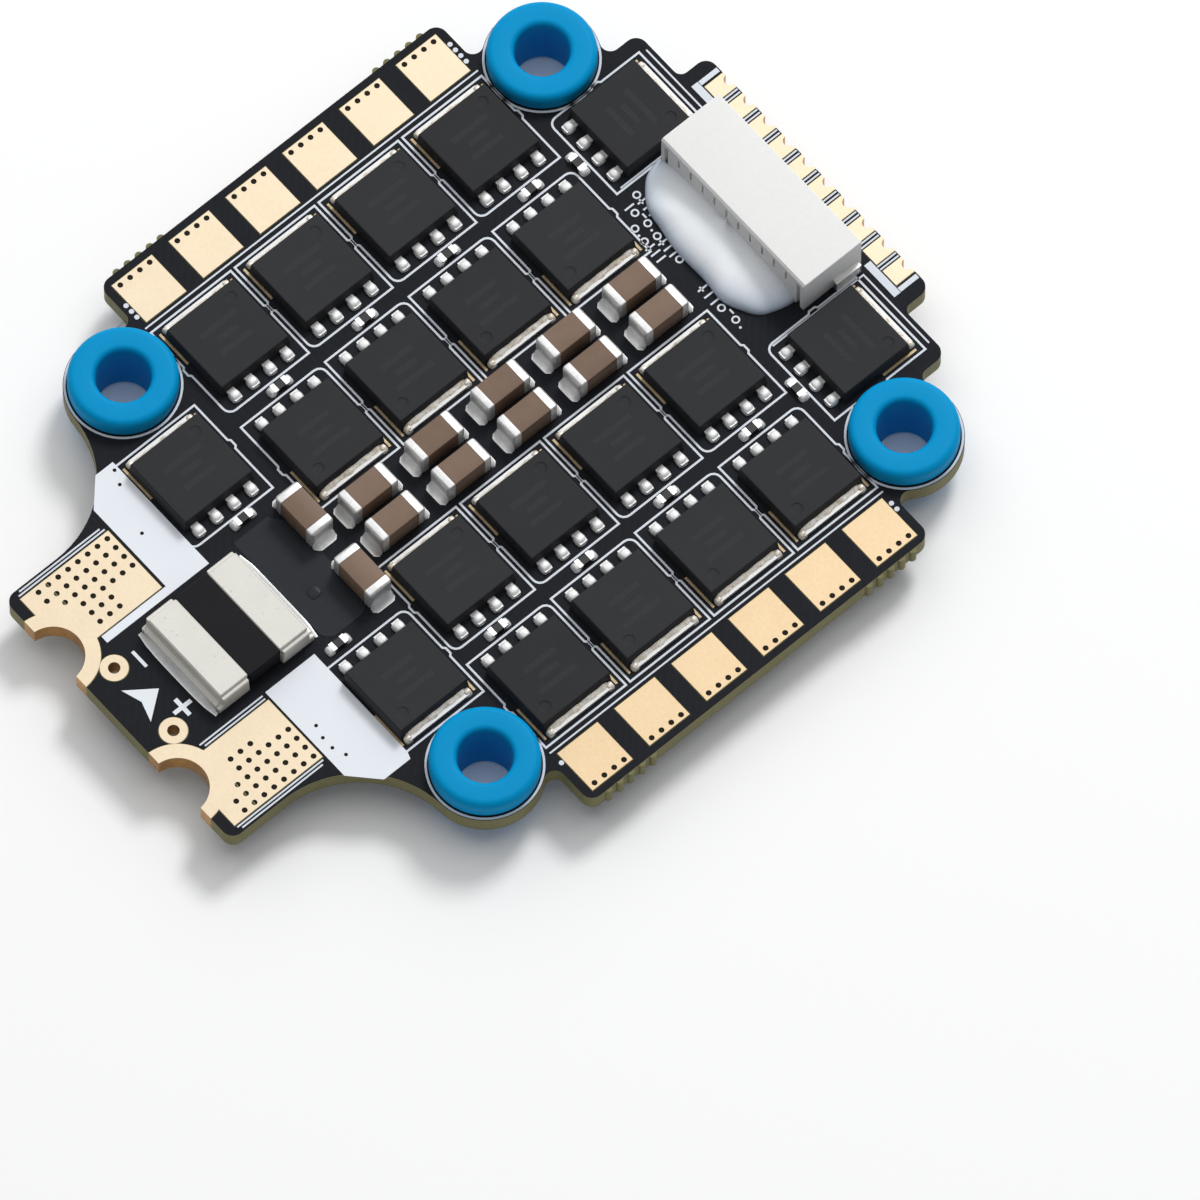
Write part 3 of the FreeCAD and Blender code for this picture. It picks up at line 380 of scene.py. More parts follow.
@dataclass
class Places:
    """Where copies of a patch stand: x, y and turn in radians, all on one face of the board."""

    x: np.ndarray
    y: np.ndarray
    turn: np.ndarray
    side: Side

    def spread(self, patch: Patch) -> Patch:
        """Return a copy of the patch at each place.

        On the under face a copy is first turned over about the X axis, so that y and z change sign.

        Args:
            patch: surface drawn at the origin, standing on z = 0, its leads along +x.

        Returns:
            All the copies as one patch.
        """
        points = patch.points.copy()
        if self.side is Side.UNDER:
            points[:, 1:] *= -1.0
        c, s = np.cos(self.turn)[:, None], np.sin(self.turn)[:, None]
        x = c * points[None, :, 0] - s * points[None, :, 1] + self.x[:, None]
        y = s * points[None, :, 0] + c * points[None, :, 1] + self.y[:, None]
        z = np.broadcast_to(points[None, :, 2] + FACE_Z[self.side], x.shape)
        starts = (np.arange(len(self.x)) * len(points))[:, None, None]
        faces = [(f[None] + starts).reshape(-1, f.shape[1]) for f in patch.faces]
        pick = np.modf(np.abs(np.sin(self.x * 12.9898 + self.y * 78.233)) * 4375.85)[0]
        local = np.tile(patch.local, (len(self.x), 1))
        return Patch(np.stack([x, y, z], axis=-1).reshape(-1, 3), faces, local, np.repeat(pick, len(points)))


def places_at(points: list[tuple[float, ...]], side: Side) -> Places:
    """Return places from a list of x, y and an optional turn in degrees."""
    turn = [math.radians(p[2]) if len(p) > 2 else 0.0 for p in points]
    return Places(np.array([p[0] for p in points], float), np.array([p[1] for p in points], float),
                  np.array(turn, float), side)


def one_place(at: np.ndarray, turn: float, side: Side) -> Places:
    """Return a single place."""
    return Places(at[:1], at[1:2], np.array([turn]), side)


def node_solids(name: str) -> np.ndarray:
    """Return the lowest and highest corner of each separate solid of a node, in millimetres.

    Corners of triangles that coincide are merged, then labels spread over shared corners until they
    settle, so each solid ends with one label.
    """
    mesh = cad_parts[name].data
    points = np.empty(len(mesh.vertices) * 3, np.float32)
    mesh.vertices.foreach_get("co", points)
    points = points.reshape(-1, 3).astype(float) / MM
    mesh.calc_loop_triangles()
    corners = np.empty(len(mesh.loop_triangles) * 3, np.int32)
    mesh.loop_triangles.foreach_get("vertices", corners)
    merged = np.unique(np.round(points / 0.002).astype(np.int64), axis=0, return_inverse=True)[1].reshape(-1)
    triangles = merged[corners].reshape(-1, 3)
    label = np.arange(merged.max() + 1)
    while True:
        lower = label.copy()
        np.minimum.at(lower, triangles.ravel(), np.repeat(label[triangles].min(axis=1), 3))
        lower = lower[lower]
        if (lower == label).all():
            break
        label = lower
    solid = np.unique(label[merged], return_inverse=True)[1].reshape(-1)
    low = np.full((solid.max() + 1, 3), np.inf)
    high = np.full((solid.max() + 1, 3), -np.inf)
    np.minimum.at(low, solid, points)
    np.maximum.at(high, solid, points)
    return np.stack([low, high], axis=1)


def on_side(solids: np.ndarray, side: Side) -> np.ndarray:
    """Return the solids on one face of the board."""
    middle = (FACE_Z[Side.TOP] + FACE_Z[Side.UNDER]) / 2.0
    above = solids.mean(axis=1)[:, 2] > middle
    return solids[above if side is Side.TOP else ~above]


End = tuple[np.ndarray, np.ndarray, float, np.ndarray]


def outward_ends(bodies: np.ndarray, ends: np.ndarray) -> list[End]:
    """Say where each end band's outer face lies and which way it looks.

    Args:
        bodies: boxes of the chips' bodies.
        ends: boxes of their end bands.

    Returns:
        For each band: its box, the middle of its outer foot, its turn in radians, and its extent along
        that turn, across it and upwards.
    """
    middles, feet = bodies.mean(axis=1)[:, :2], ends.mean(axis=1)[:, :2]
    owner = np.linalg.norm(feet[:, None] - middles[None], axis=2).argmin(axis=1)
    found = []
    for band, foot, which in zip(ends, feet, owner):
        away, size = foot - middles[which], band[1] - band[0]
        along = int(abs(away[0]) < abs(away[1]))
        unit = np.zeros(2)
        unit[along] = math.copysign(1.0, away[along])
        extent = np.array([size[along], size[1 - along], size[2]])
        found.append((band, foot + unit * size[along] / 2.0, math.atan2(unit[1], unit[0]), extent))
    return found


# ---------------------------------------------------------------- shader groups

class GroupMaker:
    """Builds one shader node group with named inputs and outputs."""

    def __init__(self, name: str, inputs: dict[str, float], outputs: tuple[str, ...]) -> None:
        """Open the group.

        Args:
            name: the group's name.
            inputs: each input's name and default.
            outputs: names of the float outputs.
        """
        self.tree = bpy.data.node_groups.new(name, "ShaderNodeTree")
        for key, value in inputs.items():
            socket = self.tree.interface.new_socket(key, in_out="INPUT", socket_type="NodeSocketFloat")
            socket.default_value = value
        for key in outputs:
            self.tree.interface.new_socket(key, in_out="OUTPUT", socket_type="NodeSocketFloat")
        self.source = self.tree.nodes.new("NodeGroupInput")
        self.sink = self.tree.nodes.new("NodeGroupOutput")

    def node(self, kind: str, links: dict[int | str, object] | None = None,
             **settings: object) -> bpy.types.Node:
        """Add a node, set its options and feed its inputs with sockets or plain values."""
        made = self.tree.nodes.new(kind)
        for key, value in settings.items():
            setattr(made, key, value)
        for key, value in (links or {}).items():
            if isinstance(value, bpy.types.NodeSocket):
                self.tree.links.new(value, made.inputs[key])
            else:
                made.inputs[key].default_value = value
        return made

    def maths(self, operation: str, a: object, b: object = 0.0, c: object = 0.0) -> bpy.types.NodeSocket:
        """Add a Math node and return its result."""
        return self.node("ShaderNodeMath", {0: a, 1: b, 2: c}, operation=operation).outputs[0]

    def millimetres(self) -> bpy.types.NodeSocket:
        """Return the object's own coordinates in millimetres."""
        place = self.node("ShaderNodeTexCoord").outputs["Object"]
        return self.node("ShaderNodeVectorMath", {0: place, "Scale": 1.0 / MM}, operation="SCALE").outputs[0]

    def give(self, name: str, socket: bpy.types.NodeSocket) -> None:
        """Send a socket to a named output."""
        self.tree.links.new(socket, self.sink.inputs[name])


def grain_group() -> bpy.types.NodeTree:
    """Fine grain over a slow drift: Tone and Height from 0 to 1."""
    g = GroupMaker("Grain", {"Size": 0.1, "Drift": 3.0, "Contrast": 1.0, "Vary": 0.0}, ("Tone", "Height"))
    place = g.millimetres()
    pick = g.node("ShaderNodeAttribute", attribute_name="pick").outputs["Fac"]
    copy_tone = g.maths("MULTIPLY", g.maths("SUBTRACT", pick, 0.5), g.source.outputs["Vary"])
    fine_scale = g.maths("DIVIDE", 1.0, g.source.outputs["Size"])
    slow_scale = g.maths("DIVIDE", 1.0, g.source.outputs["Drift"])
    fine = g.node("ShaderNodeTexNoise", {"Vector": place, "Scale": fine_scale, "Detail": 3.0}).outputs["Fac"]
    slow = g.node("ShaderNodeTexNoise", {"Vector": place, "Scale": slow_scale, "Detail": 2.0}).outputs["Fac"]
    both = g.maths("ADD", g.maths("MULTIPLY", fine, 0.6), g.maths("MULTIPLY", slow, 0.4))
    spread = g.maths("MULTIPLY", g.maths("SUBTRACT", both, 0.5), g.source.outputs["Contrast"])
    tone = g.node("ShaderNodeClamp", {0: g.maths("ADD", g.maths("ADD", spread, 0.5), copy_tone)}).outputs[0]
    g.give("Tone", tone)
    g.give("Height", fine)
    return g.tree


def specks_group() -> bpy.types.NodeTree:
    """Scattered small specks, such as lint or pits: Mask is 1 on a speck."""
    g = GroupMaker("Specks", {"Pitch": 1.0, "Share": 0.1}, ("Mask",))
    scale = g.maths("DIVIDE", 1.0, g.source.outputs["Pitch"])
    cells = g.node("ShaderNodeTexVoronoi", {"Vector": g.millimetres(), "Scale": scale})
    edge = g.node("ShaderNodeMapRange", {0: cells.outputs["Distance"], 1: g.source.outputs["Share"], 2: 0.0,
                                         3: 0.0, 4: 1.0}).outputs[0]
    g.give("Mask", edge)
    return g.tree


def tracks_group() -> bpy.types.NodeTree:
    """Copper tracks under a mask: Mask is 1 on a track.

    Square cells choose among lines along x, lines on the diagonal and no lines; a line is where the
    folded distance to its middle is small.
    """
    g = GroupMaker("Tracks", {"Pitch": 0.42, "Cell": 5.0}, ("Mask",))
    place = g.millimetres()
    scale = g.maths("DIVIDE", 1.0, g.source.outputs["Cell"])
    cells = g.node("ShaderNodeTexVoronoi", {"Vector": place, "Scale": scale}, distance="MANHATTAN")
    pick = g.node("ShaderNodeSeparateColor", {0: cells.outputs["Color"]}).outputs[0]
    axes = g.node("ShaderNodeSeparateXYZ", {0: place})
    diagonal = g.maths("MULTIPLY", g.maths("ADD", axes.outputs[0], axes.outputs[1]), 0.7071)
    half = g.maths("MULTIPLY", g.source.outputs["Pitch"], 0.5)
    lines = []
    for along in (axes.outputs[1], diagonal):
        fold = g.maths("PINGPONG", along, half)
        lines.append(g.node("ShaderNodeMapRange", {0: fold, 1: 0.085, 2: 0.05, 3: 0.0, 4: 1.0}).outputs[0])
    straight = g.maths("MULTIPLY", lines[0], g.maths("GREATER_THAN", pick, 0.72))
    slanted = g.maths("MULTIPLY", lines[1], g.maths("LESS_THAN", pick, 0.3))
    g.give("Mask", g.maths("MAXIMUM", straight, slanted))
    return g.tree


def etch_group() -> bpy.types.NodeTree:
    """Faint plain bars burnt into the middle of a moulded body's top: Mask is 1 on a bar."""
    g = GroupMaker("Etch", {"Foot": 0.9}, ("Mask",))
    local = g.node("ShaderNodeAttribute", attribute_name="local").outputs["Vector"]
    axes = g.node("ShaderNodeSeparateXYZ", {0: local}).outputs
    total: object = 0.0
    for middle, half in ((0.75, 1.1), (0.0, 0.7), (-0.75, 1.3)):
        across = g.maths("LESS_THAN", g.maths("ABSOLUTE", g.maths("SUBTRACT", axes[0], middle)), 0.17)
        along = g.maths("LESS_THAN", g.maths("ABSOLUTE", axes[1]), half)
        total = g.maths("MAXIMUM", total, g.maths("MULTIPLY", across, along))
    high = g.maths("GREATER_THAN", axes[2], g.source.outputs["Foot"])
    worn = g.node("ShaderNodeTexNoise", {"Vector": local, "Scale": 5.0}).outputs["Fac"]
    g.give("Mask", g.maths("MULTIPLY", g.maths("MULTIPLY", total, high), worn))
    return g.tree


def layers_group() -> bpy.types.NodeTree:
    """Stacked plies seen at a board's routed edge: Mask is 1 on a copper or glass line."""
    g = GroupMaker("Layers", {"Ply": 0.22}, ("Mask",))
    place = g.millimetres()
    up = g.node("ShaderNodeSeparateXYZ", {0: place}).outputs[2]
    shake = g.node("ShaderNodeTexNoise", {"Vector": place, "Scale": 2.5}).outputs["Fac"]
    wavy = g.maths("ADD", up, g.maths("MULTIPLY", shake, 0.05))
    fold = g.maths("PINGPONG", wavy, g.maths("MULTIPLY", g.source.outputs["Ply"], 0.5))
    g.give("Mask", g.node("ShaderNodeMapRange", {0: fold, 1: 0.045, 2: 0.015, 3: 0.0, 4: 1.0}).outputs[0])
    return g.tree


def depth_group() -> bpy.types.NodeTree:
    """How thick a milky layer is over the board: Deep is 0 at the board and 1 at Full above it."""
    g = GroupMaker("Depth", {"Foot": 3.1, "Full": 1.4}, ("Deep",))
    up = g.node("ShaderNodeSeparateXYZ", {0: g.millimetres()}).outputs[2]
    above = g.maths("SUBTRACT", up, g.source.outputs["Foot"])
    share = g.maths("DIVIDE", above, g.source.outputs["Full"])
    g.give("Deep", g.node("ShaderNodeClamp", {0: share}).outputs[0])
    return g.tree


GROUPS: dict[str, bpy.types.NodeTree] = {}


def group(name: str) -> bpy.types.NodeTree:
    """Return a shared shader group, built the first time it is asked for."""
    makers = {"Grain": grain_group, "Specks": specks_group, "Tracks": tracks_group, "Layers": layers_group,
              "Depth": depth_group, "Etch": etch_group}
    if name not in GROUPS:
        GROUPS[name] = makers[name]()
    return GROUPS[name]


# ---------------------------------------------------------------- finishes

@dataclass(frozen=True)
class Finish:
    """A surface finish: two tones mixed by grain, with matching roughness and a fine bump."""

    name: str
    dark: Colour
    light: Colour
    rough: tuple[float, float] = (0.4, 0.5)
    metallic: float = 0.0
    specular: float = 0.5
    grain: float = 0.1
    drift: float = 3.0
    contrast: float = 1.4
    vary: float = 0.0
    bump: float = 0.15
    bump_depth: float = 0.004
    coat: float = 0.0
    subsurface: float = 0.0
    overlay: str = ""
    overlay_tone: Colour = (0.0, 0.0, 0.0)
    overlay_share: float = 0.0
    overlay_sizes: tuple[tuple[str, float], ...] = ()
    overlay_height: float = 0.0

    def build(self) -> bpy.types.Material:
        """Build the material: group outputs feed Base Color, Roughness and Normal only."""
        made = bpy.data.materials.new(self.name)
        made.use_nodes = True
        tree = made.node_tree
        shader = tree.nodes["Principled BSDF"]
        for key, value in (("Metallic", self.metallic), ("Specular IOR Level", self.specular),
                           ("Coat Weight", self.coat), ("Subsurface Weight", self.subsurface),
                           ("Subsurface Scale", 0.0006), ("Coat Roughness", 0.12)):
            shader.inputs[key].default_value = value
        shader.inputs["Subsurface Radius"].default_value = (1.0, 0.97, 0.94)
        grain = self._group(tree, "Grain", (("Size", self.grain), ("Drift", self.drift),
                                            ("Contrast", self.contrast), ("Vary", self.vary)))
        colour = self._mix(tree, grain.outputs["Tone"], self.dark, self.light)
        height = grain.outputs["Height"]
        if self.overlay:
            extra = self._group(tree, self.overlay, self.overlay_sizes)
            share = self._maths(tree, "MULTIPLY", extra.outputs[0], self.overlay_share)
            colour = self._mix(tree, share, colour, self.overlay_tone)
            lifted = self._maths(tree, "MULTIPLY", extra.outputs[0], self.overlay_height)
            height = self._maths(tree, "ADD", height, lifted)
        tree.links.new(colour, shader.inputs["Base Color"])
        spread = tree.nodes.new("ShaderNodeMapRange")
        spread.inputs[3].default_value, spread.inputs[4].default_value = self.rough
        tree.links.new(grain.outputs["Tone"], spread.inputs[0])
        tree.links.new(spread.outputs[0], shader.inputs["Roughness"])
        bump = tree.nodes.new("ShaderNodeBump")
        bump.inputs["Strength"].default_value = self.bump
        bump.inputs["Distance"].default_value = self.bump_depth * MM
        tree.links.new(height, bump.inputs["Height"])
        tree.links.new(bump.outputs[0], shader.inputs["Normal"])
        return made

    @staticmethod
    def _group(tree: bpy.types.NodeTree, name: str, values: tuple[tuple[str, float], ...]) -> bpy.types.Node:
        """Place a shared group with this finish's own values."""
        made = tree.nodes.new("ShaderNodeGroup")
        made.node_tree = group(name)
        for key, value in values:
            made.inputs[key].default_value = value
        return made

    @staticmethod
    def _mix(tree: bpy.types.NodeTree, share: bpy.types.NodeSocket, a: object,
             b: object) -> bpy.types.NodeSocket:
        """Mix two colours, each a socket or a plain value."""
        made = tree.nodes.new("ShaderNodeMix")
        made.data_type = "RGBA"
        tree.links.new(share, made.inputs["Factor"])
        for socket, value in ((made.inputs[6], a), (made.inputs[7], b)):
            if isinstance(value, bpy.types.NodeSocket):
                tree.links.new(value, socket)
            else:
                socket.default_value = (*value, 1.0)
        return made.outputs[2]

    @staticmethod
    def _maths(tree: bpy.types.NodeTree, operation: str, a: object, b: object) -> bpy.types.NodeSocket:
        """Add a Math node in the material's own tree."""
        made = tree.nodes.new("ShaderNodeMath")
        made.operation = operation
        for socket, value in zip(made.inputs, (a, b)):
            if isinstance(value, bpy.types.NodeSocket):
                tree.links.new(value, socket)
            else:
                socket.default_value = value
        return made.outputs[0]


MASK = Finish("solder_mask_charcoal", (0.0095, 0.0102, 0.0130), (0.0165, 0.0176, 0.0222), rough=(0.46, 0.56),
              specular=0.05, grain=0.35, drift=3.0, bump=0.2, bump_depth=0.006, overlay="Tracks",
              overlay_tone=(0.020, 0.022, 0.028), overlay_share=0.16,
              overlay_sizes=(("Pitch", 0.42), ("Cell", 5.0)), overlay_height=0.6)
MASK_UNDER = Finish("solder_mask_under", (0.0085, 0.009, 0.0115), (0.0145, 0.0155, 0.020), rough=(0.34, 0.44),
                    specular=0.25, grain=0.35, drift=3.0, bump=0.25, bump_depth=0.006, overlay="Tracks",
                    overlay_tone=(0.030, 0.033, 0.042), overlay_share=0.55,
                    overlay_sizes=(("Pitch", 0.36), ("Cell", 3.4)), overlay_height=3.0)
MASK_RAISED = Finish("solder_mask_over_copper", (0.013, 0.0155, 0.020), (0.019, 0.022, 0.028),
                     rough=(0.3, 0.4), specular=0.12, grain=0.3, bump=0.2)
LAMINATE = Finish("laminate_edge", (0.10, 0.10, 0.038), (0.22, 0.20, 0.08), rough=(0.5, 0.65), specular=0.3,
                  grain=0.08, drift=1.0, bump=0.4, bump_depth=0.01, overlay="Layers",
                  overlay_tone=(0.36, 0.31, 0.12), overlay_share=0.5, overlay_sizes=(("Ply", 0.3),),
                  overlay_height=0.6)
GOLD = Finish("immersion_gold", (0.57, 0.41, 0.23), (0.67, 0.515, 0.325), rough=(0.38, 0.48), metallic=0.4,
              grain=0.18, drift=1.8, contrast=1.6, bump=0.3, bump_depth=0.005)
# the same immersion gold painted lighter: a painted highlight on the pads that catch more light
GOLD_PAINTED_HIGHLIGHT = Finish("immersion_gold_pale", (0.62, 0.505, 0.35), (0.71, 0.595, 0.435), rough=(0.38, 0.48),
                   metallic=0.4, grain=0.18, drift=1.8, contrast=1.6, bump=0.3, bump_depth=0.005)
PLATED_EDGE = Finish("plated_edge_gold", (0.30, 0.125, 0.025), (0.66, 0.36, 0.10), rough=(0.28, 0.4),
                     metallic=0.9, grain=0.12, drift=0.8, contrast=2.2, bump=0.4)
DULL_GOLD = Finish("copper_margin", (0.26, 0.19, 0.10), (0.52, 0.41, 0.25), rough=(0.4, 0.5), metallic=0.6,
                   grain=0.1, drift=0.5, contrast=2.6, bump=0.3)
TIN = Finish("tin_plate", (0.66, 0.66, 0.65), (0.88, 0.88, 0.87), rough=(0.3, 0.42), metallic=0.95,
             grain=0.12, drift=1.0, bump=0.35, bump_depth=0.006)
BAND = Finish("capacitor_band", (0.54, 0.54, 0.535), (0.78, 0.78, 0.77), rough=(0.34, 0.46), metallic=0.6,
              grain=0.16, drift=0.9, contrast=1.8, bump=0.4, bump_depth=0.008)
LEAD = Finish("lead_tin", (0.46, 0.46, 0.46), (0.68, 0.68, 0.67), rough=(0.35, 0.5), metallic=0.5, grain=0.1,
              drift=0.8, bump=0.3)
SOLDER = Finish("reflowed_solder", (0.72, 0.72, 0.72), (0.93, 0.93, 0.93), rough=(0.3, 0.42), metallic=0.2,
                grain=0.22, drift=0.6, contrast=2.2, bump=0.6, bump_depth=0.016)
DRAIN_SOLDER = Finish("drain_solder", (0.60, 0.49, 0.34), (0.98, 0.97, 0.94), rough=(0.3, 0.45), metallic=0.2,
                      grain=0.16, drift=0.45, contrast=3.0, bump=0.7, bump_depth=0.018)
SHUNT_TIN = Finish("shunt_tin", (0.56, 0.545, 0.495), (0.70, 0.69, 0.64), rough=(0.42, 0.55), metallic=0.15,
                   grain=0.1, drift=1.6, bump=0.4, bump_depth=0.012, overlay="Specks",
                   overlay_tone=(0.36, 0.30, 0.23), overlay_share=0.55,
                   overlay_sizes=(("Pitch", 0.7), ("Share", 0.14)), overlay_height=-1.0)
MOULDING = Finish("black_moulding", (0.020, 0.0205, 0.0225), (0.031, 0.032, 0.035), rough=(0.5, 0.62),
                  specular=0.15, grain=0.07, drift=1.5, vary=0.5, bump=0.35, bump_depth=0.006)
FET_MOULDING = Finish("transistor_moulding", (0.020, 0.0205, 0.0225), (0.031, 0.032, 0.035),
                      rough=(0.5, 0.62), specular=0.10, grain=0.07, drift=1.5, vary=0.6, bump=0.35,
                      bump_depth=0.006,
                      overlay="Etch", overlay_tone=(0.048, 0.049, 0.053), overlay_share=0.5,
                      overlay_sizes=(("Foot", 0.9),), overlay_height=-0.4)
SHUNT_COAT = Finish("shunt_coating", (0.009, 0.009, 0.010), (0.015, 0.015, 0.017), rough=(0.42, 0.54),
                    specular=0.06, grain=0.2, bump=0.3)
GLAZE = Finish("resistor_glaze", (0.012, 0.012, 0.014), (0.022, 0.022, 0.024), rough=(0.25, 0.35),
               specular=0.35, grain=0.1, bump=0.2)
CERAMIC = Finish("capacitor_ceramic", (0.150, 0.096, 0.066), (0.220, 0.150, 0.108), rough=(0.42, 0.55),
                 specular=0.2, grain=0.09, drift=0.9, vary=0.5, bump=0.25, bump_depth=0.005)
PALE_CERAMIC = Finish("pale_ceramic", (0.26, 0.155, 0.085), (0.38, 0.245, 0.15), rough=(0.38, 0.5),
                      specular=0.4, grain=0.09, drift=0.9, bump=0.25, bump_depth=0.005)
SILICONE = Finish("blue_silicone", (0.0, 0.250, 0.525), (0.0, 0.292, 0.60), rough=(0.42, 0.52), specular=0.06,
                  grain=0.25, drift=5.0, contrast=0.9, bump=0.12, bump_depth=0.01)
NYLON = Finish("natural_nylon", (0.765, 0.76, 0.75), (0.835, 0.83, 0.82), rough=(0.45, 0.55), specular=0.3,
               grain=0.2, drift=4.0, bump=0.12, subsurface=0.03)
SEALANT = Finish("milky_sealant", (0.45, 0.55, 0.69), (0.49, 0.59, 0.73), rough=(0.24, 0.32), specular=0.3,
                 grain=0.8, drift=4.0, bump=0.15, bump_depth=0.03, subsurface=0.25, overlay="Depth",
                 overlay_tone=(0.88, 0.905, 0.94), overlay_share=1.0,
                 overlay_sizes=(("Foot", 3.14), ("Full", 1.0)))
FERRITE = Finish("pressed_iron", (0.115, 0.115, 0.12), (0.18, 0.18, 0.185), rough=(0.5, 0.65), specular=0.35,
                 grain=0.05, drift=1.0, bump=0.5, bump_depth=0.01)
PRINT = Finish("white_print", (0.62, 0.66, 0.72), (0.74, 0.78, 0.84), rough=(0.55, 0.7), specular=0.25,
               grain=0.08, drift=1.2, bump=0.3)
BLOCK_PRINT = Finish("broad_print", (0.74, 0.775, 0.83), (0.80, 0.83, 0.88), rough=(0.5, 0.6), specular=0.3,
                     grain=0.12, drift=2.0, bump=0.2)
# near-black: painted shade under the stitching holes, and the dark spots of the block vias
HOLE_SHADE_AND_SPOT_BLACK = Finish("hole_shade", (0.008, 0.006, 0.004), (0.02, 0.015, 0.009), rough=(0.6, 0.7), specular=0.1,
                   grain=0.05)
BRONZE = Finish("contact_bronze", (0.62, 0.52, 0.34), (0.80, 0.72, 0.52), rough=(0.25, 0.35), metallic=1.0,
                grain=0.1, bump=0.2)

MATERIALS: dict[str, bpy.types.Material] = {}


def material(finish: Finish) -> bpy.types.Material:
    """Return a finish's material, built the first time it is asked for."""
    if finish.name not in MATERIALS:
        MATERIALS[finish.name] = finish.build()
    return MATERIALS[finish.name]


# ---------------------------------------------------------------- pieces

def make_piece(name: str, patch: Patch, finish: Finish, body: str = BOARD,
               replaces: tuple[str, ...] = (), sharp: float = 32.0) -> bpy.types.Object:
    """Make one piece from a patch, dress it and tie it to the frame.

    Args:
        name: the piece's name.
        patch: its surface in millimetres.
        finish: its finish.
        body: the frame's body that it rides on.
        replaces: frame nodes that it stands for.
        sharp: edges that turn by more than this many degrees stay sharp.

    Returns:
        The object.
    """
    mesh = bpy.data.meshes.new(name)
    mesh.from_pydata((patch.points * MM).tolist(), [], [f for part in patch.faces for f in part.tolist()])
    mesh.attributes.new("local", "FLOAT_VECTOR", "POINT").data.foreach_set("vector", patch.local.ravel())
    mesh.attributes.new("pick", "FLOAT", "POINT").data.foreach_set("value", patch.pick)
    mesh.shade_smooth()
    mesh.set_sharp_from_angle(angle=math.radians(sharp))
    mesh.materials.append(material(finish))
    made = bpy.data.objects.new(name, mesh)
    bpy.context.scene.collection.objects.link(made)
    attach(made, body)
    if replaces:
        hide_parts(*replaces)
    log.info("piece %s: %d faces", name, len(mesh.polygons))
    return made


def soften_node(node: str, finish: Finish, width: float, segments: int = 2) -> bpy.types.Object:
    """Stand a copy of a node in its place, its corners merged and its edges rounded by a Bevel.

    Args:
        node: the frame's node.
        finish: its finish.
        width: the rounding's width in millimetres.
        segments: steps in the rounding.

    Returns:
        The object.
    """
    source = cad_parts[node]
    mesh = source.data.copy()
    mesh.materials.clear()
    mesh.materials.append(material(finish))
    made = bpy.data.objects.new(node + "_soft", mesh)
    bpy.context.scene.collection.objects.link(made)
    work = bmesh.new()
    work.from_mesh(mesh)
    bmesh.ops.remove_doubles(work, verts=work.verts, dist=0.0005 * MM)
    bmesh.ops.dissolve_limit(work, angle_limit=math.radians(1.0), verts=work.verts, edges=work.edges)
    work.to_mesh(mesh)
    work.free()
    mesh.shade_smooth()
    mesh.set_sharp_from_angle(angle=math.radians(50.0))
    bevel = made.modifiers.new("soft_edges", "BEVEL")
    bevel.width = width * MM
    bevel.segments = segments
    bevel.limit_method = "ANGLE"
    bevel.angle_limit = math.radians(40.0)
    bevel.harden_normals = False
    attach(made, BOARD)
    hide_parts(node)
    log.info("piece %s: %d faces before rounding", made.name, len(mesh.polygons))
    return made


def dress(node: str, finish: Finish) -> None:
    """Give a frame node its finish, its mesh left as it is."""
    mesh_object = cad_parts[node]
    mesh_object.data.materials.clear()
    mesh_object.data.materials.append(material(finish))
    log.info("node %s dressed in %s", node, finish.name)


# ---------------------------------------------------------------- sub-assemblies

